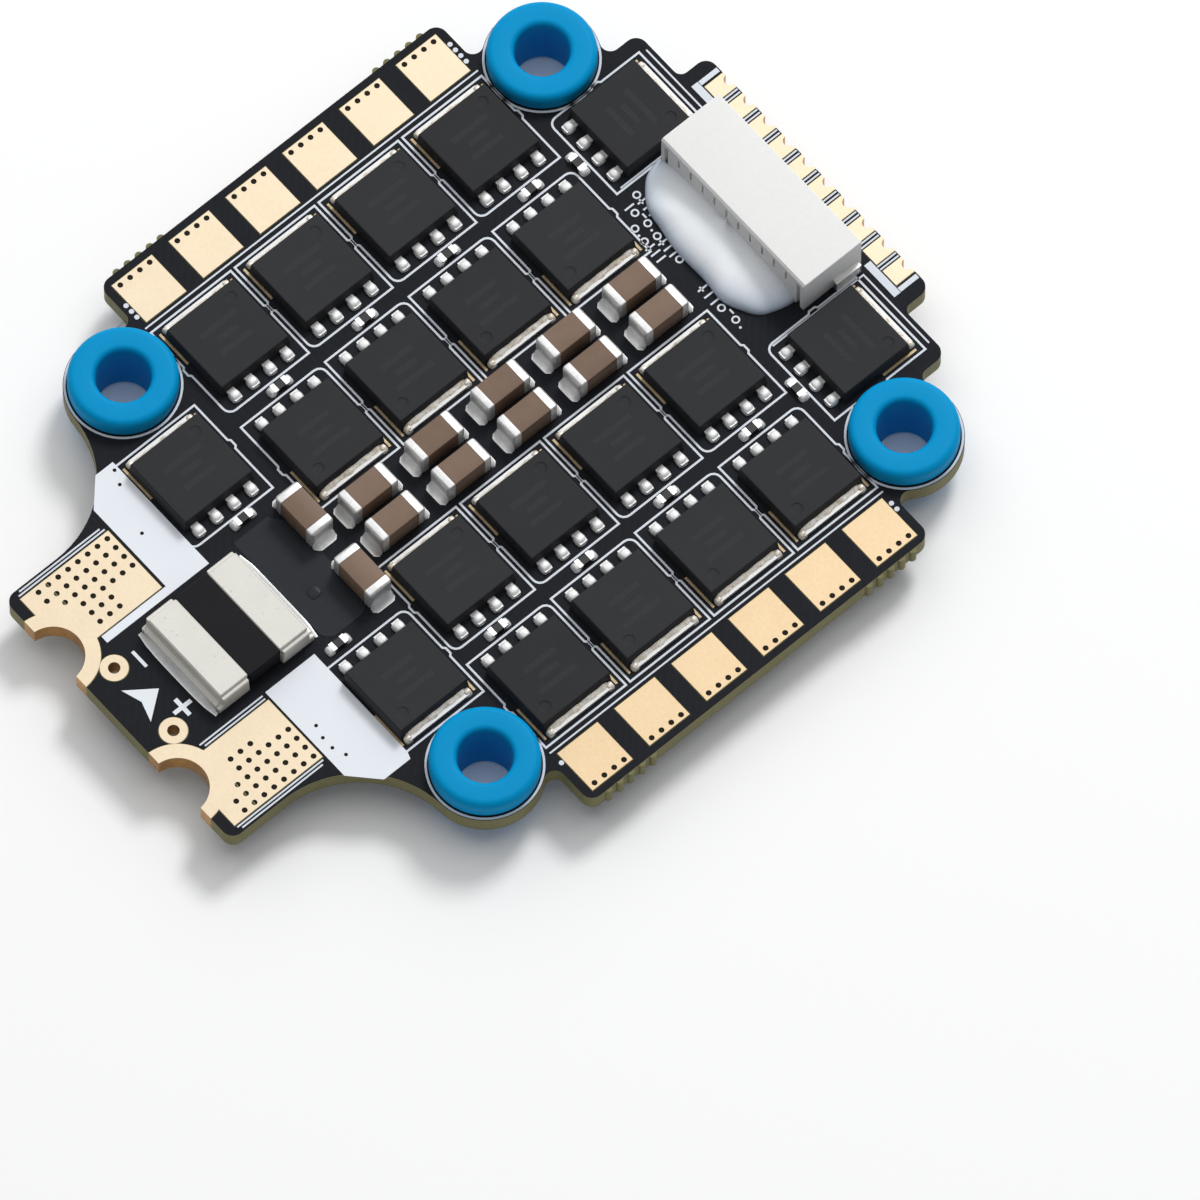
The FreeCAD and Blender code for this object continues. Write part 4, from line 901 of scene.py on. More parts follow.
@dataclass
class BareBoard:
    """Laminate, masks, bare pads, painted shade in their stitching holes and the plated walls."""

    via_shade_lift: float = 0.004
    mask_thickness: float = 0.03
    notch_x: float = 5.25
    notch_radius: float = 1.77
    notch_ring: float = 0.85
    notch_drop: float = 0.15
    eyelet_x: float = 2.5
    eyelet_radius: float = 0.35
    eyelet_inset: float = 1.9
    half_hole_radius: float = 0.35
    skin: float = 0.006
    motors: tuple[int, ...] = (1, 2, 3, 4)

    def build(self) -> None:
        """Dress the board's own nodes, line their holes and plate their walls."""
        dress("board_laminate", LAMINATE)
        dress("solder_mask_top", MASK)
        dress("solder_mask_bottom", MASK_UNDER)
        # battery, motor 3, motor 4 and signal pads get the gold with the painted highlight; the rest get the
        # plain gold
        for name in ("battery_minus_pad", "battery_plus_pad", "motor3_pads", "motor4_pads", "signal_pads"):
            dress(name, GOLD_PAINTED_HIGHLIGHT)
        for name in ("motor1_pads", "motor2_pads", "test_points"):
            dress(name, GOLD)
        # a dark sheet under the pads paints the shade inside their stitching holes
        make_piece("stitching_hole_painted_shade", self.hole_painted_shade(), HOLE_SHADE_AND_SPOT_BLACK)
        make_piece("plated_walls", self.plated_walls(), PLATED_EDGE)
        make_piece("mask_over_copper", self.copper_areas(), MASK_RAISED)

    def hole_painted_shade(self) -> Patch:
        """Return a dark floor under every bare pad, seen only through its holes: painted shade that stands for
        the depth of each stitching hole.
        """
        floors = []
        for motor in self.motors:
            for low, high in node_solids(f"motor{motor}_pads"):
                floors.append(self._floor(low, high))
        for name in ("battery_minus_pad", "battery_plus_pad"):
            low, high = box_of(name)
            side = math.copysign(1.0, low[0] + high[0])
            for inner, outer, foot, head in ((4.6, 8.95, 2.4, 7.0), (7.15, 8.95, 0.8, 2.4)):
                ends = sorted((side * inner, side * outer))
                floors.append(self._floor(np.array([ends[0], low[1] + foot, 0.0]),
                                          np.array([ends[1], low[1] + head, 0.0])))
        return join(floors)

    def _floor(self, low: np.ndarray, high: np.ndarray) -> Patch:
        """Return one thin dark floor just above the laminate, inside a pad's outline, as painted hole shade."""
        margin = 0.04
        middle, half = (low + high) / 2.0, (high - low) / 2.0 - margin
        z = FACE_Z[Side.TOP] - self.mask_thickness
        outline = rounded_outline(half[0], half[1], 0.05, 2)
        return plate_patch(outline, self.via_shade_lift).moved(middle[0], middle[1], z)

    def plated_walls(self) -> Patch:
        """Return thin bright skins on the walls of notches, eyelets and edge half-holes."""
        low = box_of("battery_plus_pad")[0][1]
        edge = box_of("signal_pads")[1][1]
        skins = []
        for side in (-1.0, 1.0):
            notch, up = math.acos(self.notch_drop / self.notch_radius), math.pi / 2.0
            middle = (side * self.notch_x, low - self.notch_drop)
            skins.append(self._wall(middle, self.notch_radius, up - notch, up + notch, 40))
            skins.append(self._wall((side * self.eyelet_x, low + self.eyelet_inset), self.eyelet_radius, 0.0,
                                    2.0 * math.pi, 24))
            for near, far in ((self.notch_radius, self.notch_radius + self.notch_ring),
                              (-self.notch_radius - self.notch_ring, -self.notch_radius)):
                strip = plate_patch([(near, -0.004), (far, -0.004), (far, 0.0), (near, 0.0)], BOARD_THICKNESS)
                skins.append(strip.moved(side * self.notch_x, low, FACE_Z[Side.UNDER]))
        for x in np.sort(node_solids("signal_pads").mean(axis=1)[:, 0]):
            skins.append(self._wall((x, edge), self.half_hole_radius, math.pi, 2.0 * math.pi, 12))
        return join(skins)

    def _wall(self, middle: tuple[float, float], radius: float, start: float, stop: float,
              steps: int) -> Patch:
        """Return a thin curved skin from one angle to another, facing its own middle."""
        angle = np.linspace(start, stop, steps)
        ring = unit(angle)
        outline = np.concatenate([ring * radius, ring[::-1] * (radius - self.skin)]) + np.array(middle)
        return plate_patch(outline, BOARD_THICKNESS).moved(z=FACE_Z[Side.UNDER])

    def copper_areas(self) -> Patch:
        """Return the broad copper area beside the shunt that shows through the mask as a low step, with a
        sealed hole.
        """
        beside_shunt = np.concatenate([[(-3.95, -16.95)],
                                       rounded_corner(3.95, -16.2, 0.75), rounded_corner(3.95, -14.6, 1.0, 1),
                                       [(-2.7, -13.6), (-3.95, -14.5)]])
        pad = plate_patch(beside_shunt, 0.022)
        bump = mound_patch(0.85, 0.85, 0.075).moved(1.2, -15.55, 0.0)
        hole = disc_patch(0.13, 0.004).moved(1.2, -15.55, 0.076)
        return join([pad, bump, hole]).moved(z=FACE_Z[Side.TOP])


@dataclass
class Transistors:
    """Power transistors: moulded bodies with a dimple, solder at the leads and drains, printed frames."""

    motors: tuple[int, ...] = (1, 2, 3, 4)
    length: float = 4.85
    width: float = 5.0
    height: float = 1.0
    edge: float = 0.07
    draft: float = 0.08
    dimple: tuple[float, float, float, float] = (-1.55, 1.6, 0.36, 0.035)
    print_width: float = 0.125
    print_height: float = 0.02
    frame_back: float = 3.14
    frame_front: float = 3.5
    frame_half: float = 2.9

    def build(self) -> None:
        """Build every transistor's pieces, motor by motor, and their shared print and solder."""
        body = dimpled_block_patch((self.length, self.width, self.height), self.edge, self.draft, self.dimple)
        everywhere = []
        for motor in self.motors:
            groups = [self.places(motor, side) for side in Side]
            groups = [g for g in groups if len(g.x)]
            everywhere += groups
            make_piece(f"motor{motor}_transistor_mouldings", join([g.spread(body) for g in groups]),
                       FET_MOULDING, replaces=(f"motor{motor}_transistor_bodies",))
            dress(f"motor{motor}_transistor_frames", LEAD)
        for side in Side:
            groups = [g for g in everywhere if g.side is side]
            for stem, patch, finish, slot in (("lead_solder", self.lead_solder(), SOLDER, "tin"),
                                              ("drain_solder", self.drain_solder(), DRAIN_SOLDER, "tin"),
                                              ("copper_margins", self.margins(), DULL_GOLD, "gold_plate"),
                                              ("print", self.printed_frame(), PRINT, "solder_mask")):
                name = f"transistor_{stem}_{side.name.lower()}"
                make_piece(name, join([g.spread(patch) for g in groups]), finish, sharp=60.0)

    def places(self, motor: int, side: Side) -> Places:
        """Find this motor's transistors on one face; the leads give each one's turn.

        A body's leads are the short solids of the frames node nearest to it, and the turn points from the
        body's middle to theirs.
        """
        bodies = on_side(node_solids(f"motor{motor}_transistor_bodies"), side).mean(axis=1)
        metal = on_side(node_solids(f"motor{motor}_transistor_frames"), side)
        size = metal[:, 1, :2] - metal[:, 0, :2]
        leads = metal[size.max(axis=1) < self.length / 3.0].mean(axis=1)
        if not len(bodies):
            return Places(np.empty(0), np.empty(0), np.empty(0), side)
        owner = np.linalg.norm(leads[:, None, :2] - bodies[None, :, :2], axis=2).argmin(axis=1)
        turns = []
        for k, middle in enumerate(bodies):
            towards = leads[owner == k].mean(axis=0) - middle
            turns.append(round(math.atan2(towards[1], towards[0]) / (math.pi / 2.0)) * math.pi / 2.0)
        return Places(bodies[:, 0], bodies[:, 1], np.array(turns), side)

    def lead_solder(self) -> Patch:
        """Return a rounded mound of solder over the outer part of each lead."""
        mound = mound_patch(0.74, 0.70, 0.37, lean=-0.08, steps=6)
        return join([mound.moved(self.length / 2.0 + 0.45, (i - 1.5) * 1.27) for i in range(4)])

    def drain_solder(self) -> Patch:
        """Return an uneven bead along the drain.

        Along v, its outer foot wanders by a few sines; across, it falls from the body as a quarter cosine.
        """
        v = np.linspace(-1.0, 1.0, 41)[:, None]
        t = np.linspace(0.0, math.pi / 2.0, 6)[None, :]
        ends = (1.0 - v ** 16)
        reach = (0.40 + 0.03 * np.sin(9.0 * v + 0.7) + 0.02 * np.sin(23.0 * v)) * (0.55 + 0.45 * ends)
        x = -self.length / 2.0 + 0.03 - reach * np.sin(t)
        y = 2.28 * v * np.ones_like(t)
        z = (0.36 + 0.03 * np.sin(13.0 * v)) * ends * np.cos(t) + 0.001
        top = np.stack([x, y, z], axis=-1)
        foot = top[:, ::-1].copy()
        foot[:, :, 2] = 0.0
        rings = np.concatenate([top, foot[:, ::len(t[0]) - 1]], axis=1)
        blob = mound_patch(0.48, 0.5, 0.34, lean=0.05, steps=5)
        x, y = -self.length / 2.0 - 0.24, self.width / 2.0 - 0.36
        return join([rings_patch(rings[:, ::-1]), blob.moved(x, -y), blob.moved(x, y)])

    def margins(self) -> Patch:
        """Return the bare copper that shows beside the body from its middle to the drain."""
        start, stop, half = -2.75, -0.35, 0.075
        strip = plate_patch([(start, -half), (stop, -half), (stop, half), (start, half)], 0.012)
        y = self.width / 2.0 + half
        return join([strip.moved(0.0, -y), strip.moved(0.0, y)])

    def printed_frame(self) -> Patch:
        """Return the printed frame: a round corner at the first lead, a bump halfway along each side."""
        back, front, half = -self.frame_back, self.frame_front, self.frame_half
        radius, bump, near, far = 0.5, 0.13, 0.2, 0.34
        arc = np.linspace(-math.pi / 2.0, 0.0, 5)
        corner = np.array([front - radius, radius - half]) + radius * unit(arc)
        sides = [(back, -half), (-far, -half), (-near, -half - bump), (near, -half - bump), (far, -half)]
        across = [(front, half), (far, half), (near, half + bump), (-near, half + bump), (-far, half),
                  (back, half)]
        path = np.concatenate([sides, corner, across])
        return line_patch(path, self.print_width, self.print_height, closed=True)


@dataclass
class BulkCapacitors:
    """Large ceramic capacitors between the two halves of the power stage."""

    pillow: float = 0.2
    fillet_reach: float = 0.46
    fillet_height: float = 0.85
    square: float = 9.0

    def build(self) -> None:
        """Build bodies, end bands and the solder at both ends."""
        bodies = node_solids("bulk_capacitor_bodies")
        bands = node_solids("bulk_capacitor_terminals")
        ceramics, caps, solder = [], [], []
        for box in bodies:
            ceramics.append(self.ceramic(box))
        for band, at, angle, extent in outward_ends(bodies, bands):
            place = one_place(at, angle, Side.TOP)
            cap = band_patch(extent[0], extent[1], extent[2], self.pillow)
            caps.append(place.spread(cap.moved(-extent[0])))
            wedge = fillet_patch(self.fillet_reach, extent[1] - 0.06, self.fillet_height, 0.02, self.square)
            solder.append(place.spread(wedge.moved(-0.03)))
        make_piece("bulk_capacitor_ceramics", join(ceramics), CERAMIC,
                   replaces=("bulk_capacitor_bodies",))
        make_piece("bulk_capacitor_bands", join(caps), BAND, replaces=("bulk_capacitor_terminals",),
                   sharp=50.0)
        make_piece("bulk_capacitor_solder", join(solder), SOLDER, sharp=60.0)

    def ceramic(self, box: np.ndarray) -> Patch:
        """Return a bar with eased long edges that fills a box along its longer side."""
        size, middle = box[1] - box[0], box.mean(axis=0)
        along = 0 if size[0] > size[1] else 1
        wide, long = size[1 - along], size[along]
        section = rounded_outline(wide / 2.0, size[2] / 2.0, 0.07, 3) + np.array([0.0, size[2] / 2.0])
        bar = prism_patch(section, -long / 2.0, long / 2.0, (0.0, 0.0)).moved(z=box[0][2] - FACE_Z[Side.TOP])
        return one_place(middle, along * math.pi / 2.0, Side.TOP).spread(bar)


@dataclass
class Shunt:
    """Current shunt: two broad tinned ends, stepped at their sides, and the coated strip between them."""

    step_width: float = 0.26
    step_drop: float = 0.22

    def build(self) -> None:
        """Build the ends, the strip and the solder round the feet."""
        low, high = box_of("shunt_terminals")
        strip_low, strip_high = box_of("shunt_element")
        middle, foot = (low + high) / 2.0, FACE_Z[Side.TOP]
        half, top = (high[0] - low[0]) / 2.0, strip_high[2] - foot
        reach, inner = (high[1] - low[1]) / 2.0, (strip_high[1] - strip_low[1]) / 2.0
        section = np.array([(inner, 0.0), (reach, 0.0), (reach, 0.5), (reach - 0.05, 0.57),
                            (reach - 0.30, 0.62), (reach - 0.34, 0.70), (reach - 0.34, top - 0.08),
                            (reach - 0.42, top), (inner + 0.06, top), (inner, top - 0.06)])
        side = np.array([(inner + 0.05, 0.0), (reach - 0.06, 0.0), (reach - 0.06, 0.45), (reach - 0.36, 0.55),
                         (reach - 0.40, top - self.step_drop), (inner + 0.12, top - self.step_drop)])
        core = half - self.step_width
        one = join([prism_patch(section, -core, core, (0.05, 0.05)),
                    prism_patch(side, core - 0.01, half, (0.0, 0.06)),
                    prism_patch(side, -half, 0.01 - core, (0.06, 0.0))])
        ends = [one.moved(middle[0], middle[1], foot), one.turned(180.0).moved(middle[0], middle[1], foot)]
        make_piece("shunt_ends", join(ends), SHUNT_TIN, replaces=("shunt_terminals",), sharp=25.0)
        strip = np.array([(-inner, 0.3), (inner, 0.3), (inner, top - 0.05), (inner - 0.05, top - 0.02),
                          (0.05 - inner, top - 0.02), (-inner, top - 0.05)])
        coat = prism_patch(strip, 0.12 - half, half - 0.12, (0.08, 0.08)).moved(middle[0], middle[1], foot)
        make_piece("shunt_strip", coat, SHUNT_COAT, replaces=("shunt_element",), sharp=25.0)
        wedge = fillet_patch(0.38, high[0] - low[0] - 0.1, 0.5, flare=0.02)
        solder = [wedge.turned(turn).moved(middle[0], y, foot)
                  for turn, y in ((90.0, high[1]), (-90.0, low[1]))]
        make_piece("shunt_solder", join(solder), SOLDER, sharp=60.0)


@dataclass
class SignalConnector:
    """Side-entry connector and the sealant behind it."""

    reach: float = 3.05
    half: float = 5.75
    crown: float = 1.4
    wall: float = 0.45
    rear: float = 0.95
    chamfer: float = 0.15
    slot_width: float = 0.16
    slot_depth: float = 0.4
    slot_foot: float = 1.6
    post: float = 0.3
    notch: float = 0.3
    ease: float = 0.035

    def build(self) -> None:
        """Build the housing, dress the metal and pour the sealant."""
        make_piece("signal_connector_shell", self.housing(), NYLON,
                   replaces=("signal_connector_housing",), sharp=25.0)
        dress("signal_connector_contacts", BRONZE)
        dress("signal_connector_hold_downs", TIN)
        make_piece("sealant_bead", self.sealant(), SEALANT, replaces=("connector_glue",),
                   sharp=80.0)

    def housing(self) -> Patch:
        """Return the shell as a row of short drawn-out lengths, each with its own section."""
        low, high = box_of("signal_connector_housing")
        length, depth, height = high - low
        pins = np.sort(node_solids("signal_connector_contacts").mean(axis=1)[:, 0]) - low[0]
        inner = 2.0 * self.wall
        runs = [(0.0, self.post, False, 0.0), (self.post, self.post + self.notch, False, height),
                (self.post + self.notch, inner, False, 0.0)]
        at = inner
        for x in pins:
            runs += [(at, x - self.slot_width / 2.0, True, 0.0),
                     (x - self.slot_width / 2.0, x + self.slot_width / 2.0, True, height - self.slot_foot)]
            at = x + self.slot_width / 2.0
        runs.append((at, length - inner, True, 0.0))
        runs += [(length - x1, length - x0, hollow, cut) for x0, x1, hollow, cut in runs[2::-1]]
        parts = [prism_patch(self._section(depth, height, hollow, cut), x0, x1,
                             (self.ease if x0 == 0.0 else 0.0, self.ease if x1 == length else 0.0))
                 for x0, x1, hollow, cut in runs]
        return join(parts).moved(low[0], low[1], low[2])

    def _section(self, depth: float, height: float, hollow: bool, cut: float) -> np.ndarray:
        """Return one section of the shell.

        Args:
            depth: from the rear wall to the mouth.
            height: of the shell.
            hollow: whether the mouth's cavity runs through it.
            cut: how far below the top a slot or notch in the rear wall ends; 0 for none.

        Returns:
            Points of y and z, anticlockwise seen from +x.
        """
        e, lip = self.ease, height - self.chamfer
        points = [(0.0, 0.0), (depth, 0.0)]
        if cut:
            bottom = max(0.0, height - cut)
            points = [(self.slot_depth, 0.0), (depth, 0.0)] if bottom == 0.0 else points
        if hollow:
            points += [(depth, self.wall), (self.rear, self.wall), (self.rear, height - self.wall),
                       (depth, height - self.wall)]
        points += [(depth, height - e), (depth - e, height), (self.chamfer + e, height),
                   (self.chamfer - 0.3 * e, height - 0.2 * e), (0.2 * e, lip + 0.2 * e)]
        if cut:
            points += [(0.0, lip - e), (0.0, height - self.wall), (self.slot_depth, height - self.wall)]
            if bottom > 0.0:
                points += [(self.slot_depth, bottom), (0.0, bottom)]
        else:
            points.append((0.0, lip - e))
        return np.array(points)

    def sealant(self) -> Patch:
        """Return the bead: a quarter of a flattened ball against the rear wall, with an uneven front.

        At angle a round the front and height angle t, reach = R(a) * cos(t) and z = H(a) * sin(t) ** 0.85,
        where R and H swell and thin by a few slow sines, R grows towards +x, and the front is squarer than an
        ellipse.
        """
        low, high = box_of("signal_connector_housing")
        middle, wall, foot = (low[0] + high[0]) / 2.0 - 0.45, low[1] + 0.02, FACE_Z[Side.TOP]
        a = np.linspace(math.pi, 2.0 * math.pi, 72)[:, None]
        t = np.linspace(0.0, math.pi / 2.0, 22)[None, :]
        swell = (1.0 + 0.13 * np.cos(a)) * (1.0 + 0.035 * np.sin(5.0 * a) + 0.02 * np.sin(11.0 * a + 1.0))
        slim = np.cos(t)
        across = np.sign(np.cos(a)) * np.abs(np.cos(a)) ** 0.8
        x = middle + self.half * across * slim * (1.0 + 0.012 * np.sin(7.0 * a))
        y = wall - self.reach * np.abs(np.sin(a)) ** 0.8 * slim * swell
        z = foot + self.crown * np.sin(t) ** 0.85 * (1.0 - 0.15 * np.cos(a) ** 2)
        skin = np.stack([x, np.minimum(y, wall), z], axis=-1)
        index, quads = grid_quads(*skin.shape[:2])
        rim = np.concatenate([index[0, :0:-1], index[:, 0], index[-1, 1:]])
        return Patch(skin.reshape(-1, 3), [quads, rim[::-1][None, :]])


@dataclass
class Grommets:
    """Four silicone spools, each on its own body."""

    flange: float = 3.1
    lower_flange: float = 2.6
    neck: float = 1.95
    bore: float = 1.55
    edge: float = 0.45
    mouth: float = 0.35
    steps: int = 96

    def build(self) -> None:
        """Turn one spool for each hole."""
        for corner in ("front_left", "front_right", "rear_left", "rear_right"):
            node = "grommet_" + corner
            low, high = box_of(node)
            middle = (low + high) / 2.0
            spool = self.spool(high[2]).moved(middle[0], middle[1])
            make_piece(node + "_spool", spool, SILICONE, body=node, replaces=(node,), sharp=40.0)

    def spool(self, top: float) -> Patch:
        """Return the spool: its half section turned about the bore, flanges dished a little at the bore."""
        gap = 0.03
        foot, head = FACE_Z[Side.UNDER] - gap, FACE_Z[Side.TOP] + gap
        quarter = np.linspace(0.0, math.pi / 2.0, 8)
        c, s, e, m = np.cos(quarter), np.sin(quarter), self.edge, self.mouth
        section = np.concatenate([
            np.stack([self.bore + m * (1 - s[::-1]), m * (1 - c[::-1])], 1),
            np.stack([self.lower_flange - e * (1 - s), e * (1 - c)], 1),
            np.stack([self.lower_flange - 0.12 * (1 - c), foot - 0.12 * (1 - s)], 1),
            [[self.neck, foot], [self.neck, head]],
            np.stack([self.flange - 0.12 * (1 - s), head + 0.12 * (1 - c)], 1),
            np.stack([self.flange - e * (1 - c), top - e * (1 - s)], 1),
            np.stack([self.bore + m * (1 - s), top - m * (1 - c)], 1)])
        angle = np.linspace(0.0, 2.0 * math.pi, self.steps, endpoint=False)
        rings = np.stack([np.outer(section[:, 0], np.cos(angle)), np.outer(section[:, 0], np.sin(angle)),
                          np.repeat(section[:, 1][:, None], self.steps, axis=1)], axis=-1)
        rings = np.concatenate([rings, rings[:1]])
        return rings_patch(rings, (False, False))


@dataclass
class ChipParts:
    """Small chip resistors, capacitors and diodes on both faces, and the solder at their ends."""

    def build(self) -> None:
        """Dress the chip nodes and add a fillet at each end band."""
        for node, finish in (("gate_resistor_bodies", GLAZE), ("chip_resistor_bodies", GLAZE),
                             ("diode_bodies", MOULDING), ("chip_capacitor_bodies", PALE_CERAMIC)):
            dress(node, finish)
        for stem, side in (("gate_resistor", Side.TOP), ("chip_resistor", Side.UNDER),
                           ("chip_capacitor", Side.UNDER), ("diode", Side.UNDER)):
            dress(f"{stem}_terminals", TIN)
            solder = self.solder(node_solids(f"{stem}_bodies"), node_solids(f"{stem}_terminals"), side)
            make_piece(f"{stem}_solder", solder, SOLDER, sharp=60.0)

    def solder(self, bodies: np.ndarray, ends: np.ndarray, side: Side) -> Patch:
        """Return one mound over the outer half of every end band, as wide as the band and a little more."""
        made = []
        for _, at, angle, (deep, wide, tall) in outward_ends(bodies, ends):
            reach = min(0.36, 0.3 + 0.06 * tall)
            mound = mound_patch(0.7 * deep + reach, wide + 0.1, min(0.92 * tall, 0.62), lean=-0.08, steps=6)
            mound = mound.moved(0.5 * (reach - 0.7 * deep))
            made.append(one_place(at, angle, side).spread(mound))
        return join(made)


@dataclass
class ControlChips:
    """Microcontrollers, gate drivers and small chips under the board."""

    def build(self) -> None:
        """Build softened bodies with a dimple, land fillets and printed frames."""
        frames = []
        for motor in (1, 2, 3, 4):
            for stem, margin in (("microcontroller", 0.72), ("gate_driver", 0.64)):
                node = f"motor{motor}_{stem}"
                low, high = box_of(node)
                size, middle = high - low, (low + high) / 2.0
                half = size[0] / 2.0
                dimple = (-half + 0.6, half - 0.6, 0.24, 0.03)
                place = places_at([(middle[0], middle[1])], Side.UNDER)
                body = dimpled_block_patch(tuple(size), 0.05, 0.0, dimple)
                make_piece(node + "_moulding", place.spread(body), MOULDING, replaces=(node,))
                frames.append(place.spread(self.printed_frame(half + margin)))
        make_piece("control_chip_print", join(frames), PRINT)
        for node in ("microcontroller_lands", "gate_driver_lands"):
            dress(node, TIN)
            make_piece(node.replace("lands", "solder"), self.land_solder(node_solids(node)), SOLDER,
                       sharp=60.0)
        for node, finish in (("regulator_body", MOULDING), ("current_amplifier_body", MOULDING),
                             ("logic_chip_bodies", MOULDING), ("inductor_core", FERRITE)):
            soften_node(node, finish, 0.07)
        for node in ("regulator_leads", "current_amplifier_leads", "logic_chip_leads", "inductor_terminals"):
            dress(node, TIN)

    def land_solder(self, lands: np.ndarray) -> Patch:
        """Return a low mound over every land, turned the way the land is longer."""
        size = lands[:, 1] - lands[:, 0]
        middle = lands.mean(axis=1)
        turn = np.where(size[:, 0] > size[:, 1], 0.0, math.pi / 2.0)
        mound = mound_patch(0.62, 0.3, 0.24, steps=4)
        return Places(middle[:, 0], middle[:, 1], turn, Side.UNDER).spread(mound)

    def printed_frame(self, half: float) -> Patch:
        """Return a square printed frame with one round corner at the first pin."""
        radius = 0.7
        arc = np.linspace(0.0, math.pi / 2.0, 6)
        corner = (half - radius + radius * unit(arc)) * np.array([-1.0, 1.0])
        path = np.concatenate([[[half, -half], [half, half]], corner[::-1], [[-half, -half]]])
        return line_patch(path, 0.16, 0.02, closed=True)


class Mark(Enum):
    """Printed shapes beside the battery tab."""

    MINUS = "minus"
    PLUS = "plus"
    ARROW = "arrow"


@dataclass
class Print:
    """White printing on both faces apart from the frames of the chips."""

    height: float = 0.02
    block_height: float = 0.026
    line: float = 0.13
    ring_radius: float = 3.25
    holes: list[tuple[float, float]] = field(default_factory=list)

    def build(self) -> None:
        """Print rings, power blocks, tab marks, signal bars, motor dots and filler ticks."""
        for corner in ("front_left", "front_right", "rear_left", "rear_right"):
            low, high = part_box("grommet_" + corner)
            self.holes.append(((low.x + high.x) / 2.0 / MM, (low.y + high.y) / 2.0 / MM))
        ring = line_patch(circle_path(self.ring_radius), self.line, self.height, closed=True)
        for side in Side:
            tag = side.name.lower()
            parts = [places_at(self.holes, side).spread(ring), self.signal_bars(side)]
            make_piece(f"print_rings_and_bars_{tag}", join(parts), PRINT)
        make_piece("print_power_blocks", self.power_blocks(), BLOCK_PRINT)
        make_piece("print_block_vias", self.block_vias(), HOLE_SHADE_AND_SPOT_BLACK)
        make_piece("print_lines", self.extra_lines(), PRINT)
        make_piece("print_tab_marks", self.tab_marks(), BLOCK_PRINT)
        make_piece("print_motor_dots", self.motor_dots(), PRINT)
        make_piece("print_filler_ticks", self.filler_ticks(), PRINT)
        make_piece("print_under_marks", self.under_marks(), PRINT)

    def on_face(self, patch: Patch, side: Side) -> Patch:
        """Return a patch drawn in the board's own x and y, laid on one face."""
        drawn = patch.flipped() if side is Side.UNDER else patch
        return one_place(np.zeros(2), 0.0, side).spread(drawn)

    def signal_bars(self, side: Side) -> Patch:
        """Return the pairs of bars between the edge pads, with a bracket at each end of the row."""
        pads = node_solids("signal_pads")
        xs = np.sort(pads.mean(axis=1)[:, 0])
        pitch = xs[1] - xs[0]
        edge, inner = pads[0, 1, 1], pads[0, 0, 1]
        bars = []
        for x in (xs[:-1] + xs[1:]) / 2.0:
            for offset in (-0.115, 0.115):
                run = [(x + offset, inner - 0.05), (x + offset, edge - 0.06)]
                bars.append(line_patch(run, 0.1, self.height))
        for end in (-1.0, 1.0):
            x = end * (xs[-1] + pitch / 2.0 + 0.06)
            bars.append(line_patch([(x, edge - 0.08), (x, inner - 0.06)], 0.3, self.height))
        if side is Side.UNDER:
            run = [(-xs[-1] - 0.95, inner - 0.2), (xs[-1] + 0.95, inner - 0.2)]
            bars.append(line_patch(run, 0.14, self.height))
        else:
            for end in (-1.0, 1.0):
                run = [(end * 8.55, inner - 0.33), (end * 6.0, inner - 0.33)]
                bars.append(line_patch(run, 0.46, self.height))
        return self.on_face(join(bars), side)

    def power_blocks(self) -> Patch:
        """Return the two solid blocks between the tab and the transistors."""
        left = [(-12.05, -18.75), (-12.05, -20.0), (-10.5, -21.45), (-4.4, -21.45), (-4.4, -26.1),
                (-3.9, -26.1), (-3.9, -18.75)]
        right = [(4.05, -17.95), (4.05, -21.5), (10.7, -21.5), (12.3, -20.0), (12.3, -18.1), (11.9, -17.95)]
        blocks = [plate_patch(outline, self.block_height) for outline in (left, right)]
        return join(blocks).moved(z=FACE_Z[Side.TOP])

    def block_vias(self) -> Patch:
        """Return the sealed holes that show as small dark spots in the solid blocks."""
        spots = [(-11.6, -19.0), (-10.75, -19.35), (-7.7, -20.35), (7.4, -20.7), (8.2, -20.9), (9.0, -20.9),
                 (9.8, -20.6)]
        return places_at(spots, Side.TOP).spread(disc_patch(0.11, self.block_height + 0.003, 12))

    def extra_lines(self) -> Patch:
        """Return the fine double lines beside the pads and outside the outer transistors."""
        paths = []
        for side in (-1.0, 1.0):
            paths.append([(side * 9.22, -21.75), (side * 9.22, -27.95)])
            paths.append([(side * 9.42, -21.95), (side * 9.42, -27.75)])
            paths.append([(side * 17.05, -12.12), (side * 17.05, 12.12)])
            paths.append([(side * 6.4, 13.35), (side * 6.4, 20.0), (side * 11.9, 20.0)])
        paths += [[(4.12, -21.75), (4.12, -26.3)], [(4.34, -21.75), (4.34, -26.1)]]
        return join([line_patch(path, 0.1, self.height) for path in paths]).moved(z=FACE_Z[Side.TOP])

    def tab_marks(self) -> Patch:
        """Return the polarity signs and the arrow of the tab."""
        arm, half = 0.62, 0.13
        plus = [(arm, -half), (arm, half), (half, half), (half, arm), (-half, arm), (-half, half),
                (-arm, half), (-arm, -half), (-half, -half), (-half, -arm), (half, -arm), (half, -half)]
        shapes = {Mark.MINUS: [(-2.6, -25.5), (-1.4, -25.5), (-1.4, -25.3), (-2.6, -25.3)],
                  Mark.PLUS: [(1.75 + x, -25.5 + y) for x, y in plus],
                  Mark.ARROW: [(0.05, -25.75), (-1.2, -27.4), (0.05, -27.0), (1.3, -27.4)]}
        return join([plate_patch(shape, self.height) for shape in shapes.values()]).moved(
            z=FACE_Z[Side.TOP])

    def motor_dots(self) -> Patch:
        """Return one to four dots beside each motor's pads, in place of lettering."""
        dot = disc_patch(0.15, self.height, 12)
        spots = []
        for motor, (sx, sy) in {1: (1, -1), 2: (1, 1), 3: (-1, -1), 4: (-1, 1)}.items():
            spots += [(sx * (17.9 + 0.46 * i), sy * 12.0) for i in range(motor)]
        return places_at(spots, Side.TOP).spread(dot)

